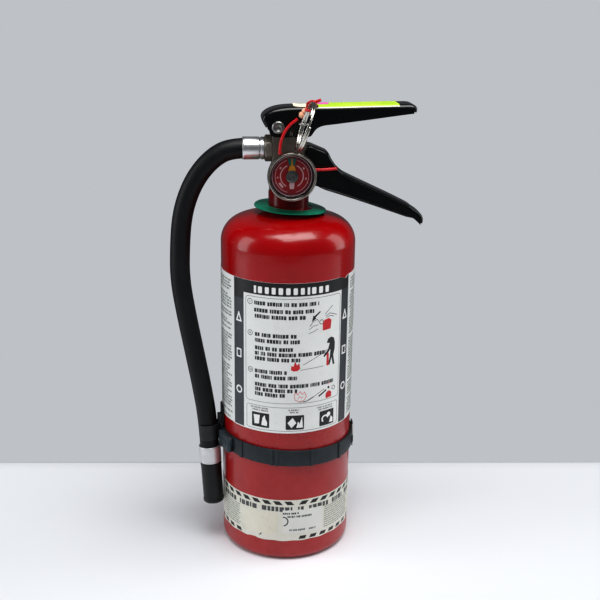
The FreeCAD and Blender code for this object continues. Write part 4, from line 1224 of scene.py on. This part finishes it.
# film of the instruction label with softly worn corners and a small tear at the top right
film_ = Sheet(R0)
k_ = R0 * DEG
outline = [(-112, 116.5), (-56.6, 116.5), (-56.5, 118.2), (-55.6, 118.6)]
film_.poly([(-112, 118.4), (-111, 117.2), (-109, 116.9)] + [(a, 117.0) for a in range(-106, -56, 4)] + [(a, 116.5) for a in range(-54, 56, 4)] +
           [(a, 116.4) for a in range(58, 107, 4)] + [(109, 116.9), (111, 117.4), (112, 119.0), (112, 239.6), (111, 241.0), (109, 241.3)] +
           [(a, 241.3) for a in range(106, 56, -4)] + [(54, 240.9), (52.5, 239.2), (49.5, 239.5), (47.6, 240.6), (44, 241.2)] + [(a, 241.3) for a in range(40, -57, -4)] +
           [(a, 241.3) for a in range(-58, -108, -4)] + [(-110, 241.1), (-111.4, 240.4), (-112, 239.0)])
lb = film_.build("label_film_main", M_FILM, "root", 0.2, 2.0)
for p in lb.data.polygons:
    p.use_smooth = False
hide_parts("instruction_label")

band = Sheet(R0 + 0.2)
band.poly([(-55.2, 230.9)] + [(a, 230.9) for a in range(-52, 55, 4)] + [(57.0, 230.9), (57.0, 241.2), (54.6, 240.9), (52.6, 239.2), (49.6, 239.5), (47.5, 240.6)] + [(a, 241.25) for a in range(44, -54, -4)] + [(-55.2, 241.25)])
band.poly([(-55.2, 225.4), (-43.7, 225.4), (-43.7, 230.95), (-55.2, 230.95)])
band.build("label_band_black", M_INK_BLACK, "root")
strips = Sheet(R0 + 0.2)
strips.box(-55.2, -43.7, 117.3, 225.4)
strips.box(46.2, 57.0, 117.2, 230.9)
strips.build("label_strips_slate", M_INK_SLATE, "root")

white = Sheet(R0 + 0.25)
s = -33.4
widths = [2.0, 4.2, 3.9, 3.8, 4.2, 4.2, 4.0, 3.8, 2.0, 4.4, 4.2, 3.9]
k_ = white.r * DEG
for w in widths:                 # a row of plain blocks stands for the heading
    wa = w / k_
    if w < 3:
        white.box(s, s + wa, 232.1, 237.9)
    else:
        white.box(s, s + wa * 0.82, 232.3, 237.7, 0.9)
    s += wa + 1.55 / k_
for a in (-49.2, 51.8):          # generic shapes on the side strips
    white.line([(a - 2.6, 206.4), (a, 213.2), (a + 2.6, 206.4), (a - 2.6, 206.4)], 1.25)
    white.frame(a - 2.3, a + 2.3, 176.4, 182.6, 1.2, 0.4)
    white.ring(a, 148.4, 2.7, 1.25)
white.build("label_print_white", M_INK_WHITE, "root")

text = Sheet(R0 + 0.2)
lines = [(222.8, -33.2, 23.4), (217.0, -33.2, 18.6), (212.2, -32.6, 11.2), (197.1, -32.4, 3.9), (192.4, -32.4, 6.5), (186.1, -32.4, 1.3), (181.7, -32.4, 29.2),
         (177.4, -32.4, 8.7), (166.8, -32.4, -3.4), (162.3, -32.4, 5.9), (155.5, -32.4, 38.7), (151.4, -32.4, 5.2), (147.4, -32.4, -4.6)]
for i, (z, a0, a1) in enumerate(lines):
    text.words(a0, a1, z - 0.1, 3.1, 40 + i)
text.build("label_print_text", M_INK_TEXT, "root")

fine = Sheet(R0 + 0.2)
fine.frame(-41.4, 44.6, 142.2, 228.9, 0.35, 3.0)
fine.frame(-40.6, 43.8, 118.4, 138.6, 0.35, 2.4)
for i, (a, z) in enumerate(((-37.2, 224.6), (-37.0, 199.0), (-36.8, 168.4))):
    fine.ring(a, z, 2.1, 0.5)
    for j in range(i + 1):
        fine.box(a + (j - i / 2) * 1.0 - 0.22, a + (j - i / 2) * 1.0 + 0.22, z - 0.95, z + 0.95)
for j, (a0, a1) in enumerate(((-36.4, -20.0), (-3.4, 6.6), (21.8, 38.6))):
    fine.words(a0, a1, 136.2 - 0.2 * j, 1.25, 90 + j, 0.8, 1.6)
    fine.words(a0 + 1.5, a1 - 0.5, 134.2 - 0.2 * j, 1.25, 95 + j, 0.8, 1.6)
fine.build("label_print_fine", M_INK_GREY, "root")
# line drawings: nozzle and hand shapes, spray lines
fine = Sheet(R0 + 0.2)
fine.line([(14.0, 206.2), (17.0, 209.8), (20.4, 211.4), (21.6, 209.4)], 0.4)
fine.line([(13.4, 203.6), (17.4, 206.2), (21.4, 206.8)], 0.4)
fine.line([(13.0, 200.2), (17.8, 201.6), (21.0, 203.2)], 0.4)
fine.line([(27.8, 214.4), (31.4, 217.4), (35.4, 220.4)], 0.45)
fine.line([(28.6, 212.6), (32.6, 214.6), (36.4, 213.4), (40.6, 211.8)], 0.45)
fine.line([(29.4, 211.4), (33.2, 212.4), (37.0, 211.2)], 0.45)
fine.ring(24.4, 208.6, 1.7, 0.45)
fine.line([(8.6, 174.6), (16.0, 178.0), (26.0, 182.2), (31.0, 184.8)], 0.4)
fine.line([(6.6, 170.4), (14.0, 171.0), (27.0, 171.6)], 0.35)
fine.line([(9.4, 142.8), (15.0, 144.6), (22.0, 148.6), (28.6, 151.6)], 0.4)
fine.line([(2.0, 145.4), (6.4, 143.2), (12.0, 143.8), (18.0, 146.8)], 0.4)
fine.ring(38.6, 150.6, 1.6, 0.5)
fine.build("label_print_lines", M_INK_TEXT, "root")

dark = Sheet(R0 + 0.2)
dark.poly([(15.6, 209.6), (19.4, 212.0), (18.8, 213.0), (23.6, 217.0), (22.8, 217.8), (17.6, 214.0), (16.9, 214.9)])                 # arrow
dark.poly([(30.0, 190.2), (31.6, 193.6), (34.8, 194.6), (37.8, 193.2), (39.2, 189.0), (39.0, 184.0), (37.6, 178.6), (39.2, 170.8), (37.2, 170.6),
           (35.6, 177.2), (33.6, 171.2), (31.8, 171.2), (33.8, 178.6), (34.2, 184.4), (31.2, 181.0), (27.6, 178.6), (27.0, 180.0), (31.6, 184.6), (33.2, 189.6)])
dark.poly([(23.4, 145.6), (31.0, 149.8), (30.4, 151.0), (23.0, 146.9)])
dark.disc(33.0, 152.0, 1.1)
for a0, a1, z0, z1 in ((-35.3, -19.4, 120.2, 132.6), (-5.4, 10.2, 119.6, 132.0), (24.4, 39.6, 119.6, 132.6)):
    dark.box(a0, a1, z0, z1, 0.9)
dark.build("label_print_dark", M_INK_BLACK, "root")

pict = Sheet(R0 + 0.25)
pict.poly([(-33.6, 130.4), (-27.8, 130.6), (-28.6, 123.0), (-32.8, 122.4)])
pict.poly([(-26.4, 122.2), (-25.4, 128.6), (-23.4, 131.0), (-22.6, 127.6), (-21.2, 125.0), (-21.4, 121.8)])
pict.poly([(-3.9, 125.6), (0.4, 130.0), (3.6, 125.4), (-0.6, 121.2)])
pict.poly([(3.6, 121.2), (5.0, 126.8), (6.4, 124.6), (8.4, 130.6), (8.9, 125.4), (9.2, 121.2)])
pict.ring(30.0, 125.4, 2.8, 1.3, 20, 20, 220)
pict.disc(33.8, 128.6, 1.9)
pict.poly([(34.6, 121.2), (36.4, 126.6), (38.6, 124.4), (38.6, 120.8)])
pict.build("label_pictogram_white", M_INK_WHITE, "root")

redp = Sheet(R0 + 0.2)
redp.poly([(25.8, 201.2), (33.8, 201.6), (34.6, 208.8), (31.8, 210.6), (27.2, 209.8), (25.6, 207.4)])
redp.box(30.2, 32.6, 171.0, 181.4, 0.7)
redp.poly([(-1.6, 170.8), (-1.2, 174.4), (0.6, 173.6), (1.8, 178.0), (3.6, 174.6), (5.4, 176.6), (6.2, 171.6), (4.0, 169.8), (0.6, 169.6)])
redp.poly([(30.2, 143.0), (36.2, 143.4), (36.4, 147.2), (34.0, 149.2), (31.2, 148.4), (30.0, 146.4)])
redp.disc(33.4, 155.6, 0.6)
redp.build("label_print_red", M_INK_RED, "root")
pink = Sheet(R0 + 0.2)
pink.line([(1.4, 148.6), (2.8, 151.6), (4.6, 149.6), (6.4, 152.4), (8.4, 149.8), (10.2, 151.8), (11.8, 147.6), (9.8, 144.6), (5.4, 143.6), (2.2, 145.4), (1.4, 148.6)], 0.5)
pink.line([(4.4, 146.0), (6.0, 148.4), (7.8, 146.4), (9.0, 148.0)], 0.4)
pink.build("label_print_pink", M_INK_PINK, "root")

# small greeked columns on the two side panels
side = Sheet(R0 + 0.2)
rnd = random.Random(5)
for a0, a1 in ((-84.0, -59.0), (61.0, 84.0), (-108.0, -88.5), (88.5, 108.0)):
    z = 237.2
    n = 0
    while z > 121.0:
        if n % rnd.choice((5, 7, 9)) == 4:
            z -= rnd.choice((1.6, 2.6))
        ind = rnd.choice((0, 0, 0, 1.6))
        end = a1 - rnd.choice((0, 0, 0.8, 3.0, 7.0))
        side.words(a0 + ind, end, z - 1.5, 1.5, 1000 + n + int(a0), 0.5, 1.3, lean=0.25)
        z -= 2.45
        n += 1
side.build("label_side_text", M_INK_GREEN, "root")

# ------------------------------------------------------------------ lower label
R1 = 54.07
low = Sheet(R1)
top_e = [(a, 56.4 - 0.12 * math.sin(a * 0.21) * (1 if abs(a) > 30 else 0.4)) for a in range(-118, 119, 2)]
bot_e = [(a, 18.8 + 0.25 * math.sin(a * 0.37 + 1.0) + (0.6 if -40 < a < -30 else 0.0)) for a in range(118, -119, -2)]
low.poly([(-118, 30.0)] + top_e[1:-1] + [(118, 54.6)] + bot_e[1:-1])
lw = low.build("label_film_lower", M_FILM_OLD, "root", 0.2, 2.0)
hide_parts("lower_label")
dash = Sheet(R1 + 0.2)
a = -112.0
i = 0
while a < 112:
    lean = 3.0 if a < 3 else -3.0
    if not -2.0 < a < 4.0:
        dash.poly([(a, 52.0), (a + 6.0, 52.0), (a + 6.0 - lean, 55.3), (a - lean, 55.3)])
    if a < -46 or a > 6:
        dash.poly([(a, 19.9), (a + 6.0, 19.9), (a + 6.0 - lean * 0.5, 22.9), (a - lean * 0.5, 22.9)])
    a += 9.9
    i += 1
dash.poly([(-28.8, 21.8), (-26.4, 22.6), (-26.0, 24.6), (-27.4, 23.4)])
dash.build("lower_label_dashes", M_INK_BLACK, "root")
lt = Sheet(R1 + 0.2)
lt.words(-74.0, 74.0, 45.9, 4.3, 301, 0.62, 2.6, fat=1.5)
lt.build("lower_label_heading", ink("ink_heading", rgb(52, 54, 56), rgb(74, 76, 78), 0.42, 0.3, rgb(196, 194, 186)), "root")
ls = Sheet(R1 + 0.2)
for n in range(10):
    z = 43.6 - n * 2.05
    ls.words(-72 + (n % 3), -48.5 - (n % 2), z, 1.0, 400 + n, 0.7, 1.2)
    ls.words(31.5, 70 - (n % 4) * 1.5, z + 0.6, 1.0, 500 + n, 0.7, 1.2)
ls.build("lower_label_fine", M_INK_GREEN, "root")


def torn(cx, cz, w, h, seed, n=40, rough=0.8):
    """Ragged outline of a paper remnant, degrees and mm."""
    rnd = random.Random(seed)
    pts = []
    per = [(-1, -1), (1, -1), (1, 1), (-1, 1)]
    for q in range(4):
        x0, z0 = per[q]
        x1, z1 = per[(q + 1) % 4]
        for j in range(n // 4):
            t = j / (n // 4)
            x, z = x0 + (x1 - x0) * t, z0 + (z1 - z0) * t
            pts.append((cx + x * w / 2 + rnd.uniform(-rough, rough) / 0.94, cz + z * h / 2 + rnd.uniform(-rough, rough)))
    return pts


M_PAPER = film("paper_remnant", rgb(214, 210, 192), rgb(230, 227, 214), rgb(188, 184, 158), 0.55, 0.62)
M_PAPER2 = film("paper_remnant_pale", rgb(216, 216, 210), rgb(228, 228, 223), rgb(190, 188, 172), 0.35, 0.5)
p1 = Sheet(R1 + 0.24)
p1.poly(torn(-28.5, 34.4, 33.0, 20.0, 3, 60, 1.3))
w1 = p1.build("sticker_remnant_left", M_PAPER, "root", 0.12)
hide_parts("worn_sticker")
p2 = Sheet(R1 + 0.24)
p2.poly(torn(10.8, 36.4, 36.0, 21.6, 9, 48, 0.35))
w2 = p2.build("sticker_service", M_PAPER2, "root", 0.12)
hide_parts("service_sticker")
sp_ = Sheet(R1 + 0.37)
sp_.ring(-6.8, 37.0, 4.0, 1.0, 20, -78, 88)
sp_.words(-7.0, 7.0, 43.4, 1.7, 610, 0.6, 1.4)
sp_.words(-3.0, 20.0, 40.4, 1.7, 611, 0.6, 1.4)
sp_.build("sticker_print", M_INK_TEXT, "root")
sr_ = Sheet(R1 + 0.37)
sr_.words(-1.5, 14.0, 27.9, 1.7, 612, 0.5, 0.9, lean=0.4)
sr_.words(16.0, 23.0, 27.7, 1.7, 613, 0.5, 0.9, lean=0.4)
sr_.build("sticker_print_small", M_INK_GREY, "root")

# ------------------------------------------------------------------ sticker on the lever: a sheet over the web and the front bend
M_CHART = finish_simple("sticker_chartreuse", rgb(166, 208, 30), rgb(188, 224, 58), (0.4, 0.58), 60, 0.0, 0.12, 500).m
M_MAG = finish_simple("sticker_magenta", rgb(226, 76, 172), rgb(240, 110, 190), (0.4, 0.58), 60, 0.0, 0.12, 500).m
M_CREAM = finish_simple("sticker_backing", rgb(224, 212, 186), rgb(238, 230, 210), (0.55, 0.75), 90, 0.0, 0.25, 500).m
TOPL = relax(resample(lever_top, 1.3), 3)


def top_z(x):
    best = None
    for i in range(len(TOPL) - 1):
        (x0, z0), (x1, z1) = TOPL[i], TOPL[i + 1]
        if x0 <= x <= x1 and z0 > 360:
            best = z0 + (z1 - z0) * (x - x0) / max(1e-6, x1 - x0)
    return best if best is not None else 369.0


def over_lever(name, x0, x1, front_deg, back, mat, lift=0.14, thick=0.12, curl=None, nx=40, start=None, **kw):
    """Sheet wrapped from front_deg down the front bend (90 is the flange) over the web to y = back."""
    r, half = 4.0, 13.2
    cols = []
    for i in range(nx + 1):
        x = x0 + (x1 - x0) * i / nx
        z = top_z(x)
        pts = []
        y_a = -(half - r) if start is None else start
        for j in range(9 if start is None else 0):
            w = math.radians(front_deg * (1 - j / 8))
            pts.append((-(half - r) - (r + lift) * math.sin(w), z - r + (r + lift) * math.cos(w)))
        for j in range(1, 13):
            y = y_a + (back - y_a) * j / 12
            pts.append((y, z + lift + 0.1 * (1 - (y / (half - r)) ** 2)))
        col = []
        for y, zz in pts:
            dx, dy, dz = curl(x, y, zz) if curl else (0, 0, 0)
            col.append((x + dx, y + dy, zz + dz))
        cols.append(col)
    m = len(cols[0])
    verts, faces = [], []
    for i, col in enumerate(cols):
        verts += col
    for i in range(nx):
        for j in range(m - 1):
            faces.append([i * m + j, (i + 1) * m + j, (i + 1) * m + j + 1, i * m + j + 1])
    o = mesh_obj(name, verts, faces, mat, **kw)
    md = o.modifiers.new("t", "SOLIDIFY")
    md.thickness = thick * MM
    md.offset = 1
    return o


st = over_lever("lever_sticker_green", 21.2, 83.8, 40, 9.0, M_CHART, body="lever", slot="lever_sticker")
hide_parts("lever_label")
over_lever("lever_sticker_magenta", 22.0, 30.5, 0, 9.4, M_MAG, lift=0.28, start=-3.0, body="lever", slot="lever_sticker", nx=12)
# a thin white strip on the lever's front bend, just below the sticker: a painted highlight where the bend catches the
# key light
M_BEND_HIGHLIGHT = finish_simple("painted_bend_highlight", rgb(232, 238, 214), rgb(244, 246, 232), (0.45, 0.6), 80, 0.0, 0.1, 500).m


def bend_highlight_strip(name, x0, x1, d0, d1, mat, lift):
    r, half = 4.0, 13.2
    verts, faces = [], []
    nx = 36
    for i in range(nx + 1):
        x = x0 + (x1 - x0) * i / nx
        z = top_z(x)
        for j in range(4):
            w = math.radians(d0 + (d1 - d0) * j / 3)
            verts.append((x, -(half - r) - (r + lift) * math.sin(w), z - r + (r + lift) * math.cos(w)))
    for i in range(nx):
        for j in range(3):
            faces.append([i * 4 + j, (i + 1) * 4 + j, (i + 1) * 4 + j + 1, i * 4 + j + 1])
    o = mesh_obj(name, verts, faces, mat, body="lever", slot="lever_sticker")
    md = o.modifiers.new("t", "SOLIDIFY")
    md.thickness = 0.08 * MM
    md.offset = 1
    return o


# painted highlight along the front bend, 40 to 54 degrees down from the web
bend_highlight_strip("lever_painted_bend_highlight", 20.6, 84.0, 40, 54, M_BEND_HIGHLIGHT, 0.16)
over_lever("lever_sticker_flap", 2.0, 14.4, 30, 4.0, M_CREAM, lift=0.2, thick=0.14, body="lever", slot="sticker_paper", nx=20,
           curl=lambda x, y, z: (0.0, -0.5 * max(0.0, (7.0 - x) / 6.0), 1.3 * max(0.0, (7.0 - x) / 6.0) ** 1.6))


# ------------------------------------------------------------------ floor and light
def stage_mat(name, c, rough=0.8):
    g = G(name)
    g.color(g.mix(g.ramp(g.noise(3.0, 3, 0.5), [(0.3, 0.0), (0.8, 1.0)]), c, tuple(v * 1.03 for v in c)))
    g.rough(g.math("ADD", g.math("MULTIPLY", g.noise(8, 2, 0.5), 0.05), rough))
    return g.m


bm = bmesh.new()
# plain pale table top that ends a little way behind the object
xs = [-1.05 + 2.1 * i / 42 for i in range(43)]


def grid(prof, idx, skew=0.0, wide=1.0):
    rows = []
    for y, z in prof:
        rows.append([bm.verts.new((x * wide, y - 0.069 * x * skew, z)) for x in xs])
    for i in range(len(prof) - 1):
        for k in range(len(xs) - 1):
            f = bm.faces.new((rows[i][k], rows[i][k + 1], rows[i + 1][k + 1], rows[i + 1][k]))
            f.material_index = idx
            f.smooth = True


grid([(-1.0, 0.0), (-0.8, 0.0), (0.0, 0.0), (0.108, 0.0), (0.122, -0.0008), (0.131, -0.004), (0.134, -0.012), (0.134, -0.08), (0.134, -2.5)], 0, 1.0)
me = bpy.data.meshes.new("studio")
bm.to_mesh(me)
bm.free()
studio = bpy.data.objects.new("studio", me)
SC.collection.objects.link(studio)
me.materials.append(stage_mat("floor_pale", rgb(232, 234, 238), 0.5))


def area(name, loc, target, size, power, color=(1, 1, 1), size_y=None):
    l = bpy.data.lights.new(name, "AREA")
    l.energy = power
    l.color = color
    l.size = size
    if size_y:
        l.shape = "RECTANGLE"
        l.size_y = size_y
    o = bpy.data.objects.new(name, l)
    SC.collection.objects.link(o)
    o.location = loc
    o.visible_camera = False
    d = Vector(target) - Vector(loc)
    o.rotation_euler = d.to_track_quat("-Z", "Y").to_euler()
    return o


area("key_top", (0.15, -0.30, 1.35), (0, 0, 0.1), 1.0, 12.2, (1.0, 0.99, 0.97), 0.7)
area("side_left", (-1.15, -0.10, 0.55), (0, 0, 0.2), 0.45, 4.6, (0.95, 0.98, 1.0), 1.1)
area("side_right", (1.15, 0.05, 0.60), (0, 0, 0.2), 0.45, 3.9, (0.97, 0.99, 1.0), 1.1)
area("top_soft", (0.0, -0.35, 1.7), (0, 0.40, 0.25), 1.6, 4.4, (0.95, 0.96, 1.0), 0.5)
area("front_fill", (-0.5, -1.9, 1.1), (0, 0, 0.2), 0.5, 3.9, (1, 1, 1), 0.5).visible_glossy = False

world = bpy.data.worlds.new("world")
SC.world = world
world.use_nodes = True
wt = world.node_tree
amb = wt.nodes["Background"]
amb.inputs[0].default_value = (0.84, 0.87, 0.94, 1)
amb.inputs[1].default_value = 0.11
far = wt.nodes.new("ShaderNodeBackground")      # plain pale surround behind everything
far.inputs[0].default_value = (0.455, 0.47, 0.495, 1)
far.inputs[1].default_value = 1.0
ray = wt.nodes.new("ShaderNodeLightPath")
pick = wt.nodes.new("ShaderNodeMixShader")
wt.links.new(ray.outputs["Is Camera Ray"], pick.inputs[0])
wt.links.new(amb.outputs[0], pick.inputs[1])
wt.links.new(far.outputs[0], pick.inputs[2])
wt.links.new(pick.outputs[0], wt.nodes["World Output"].inputs[0])
SC.view_settings.view_transform = "Standard"
SC.view_settings.look = "Medium High Contrast"
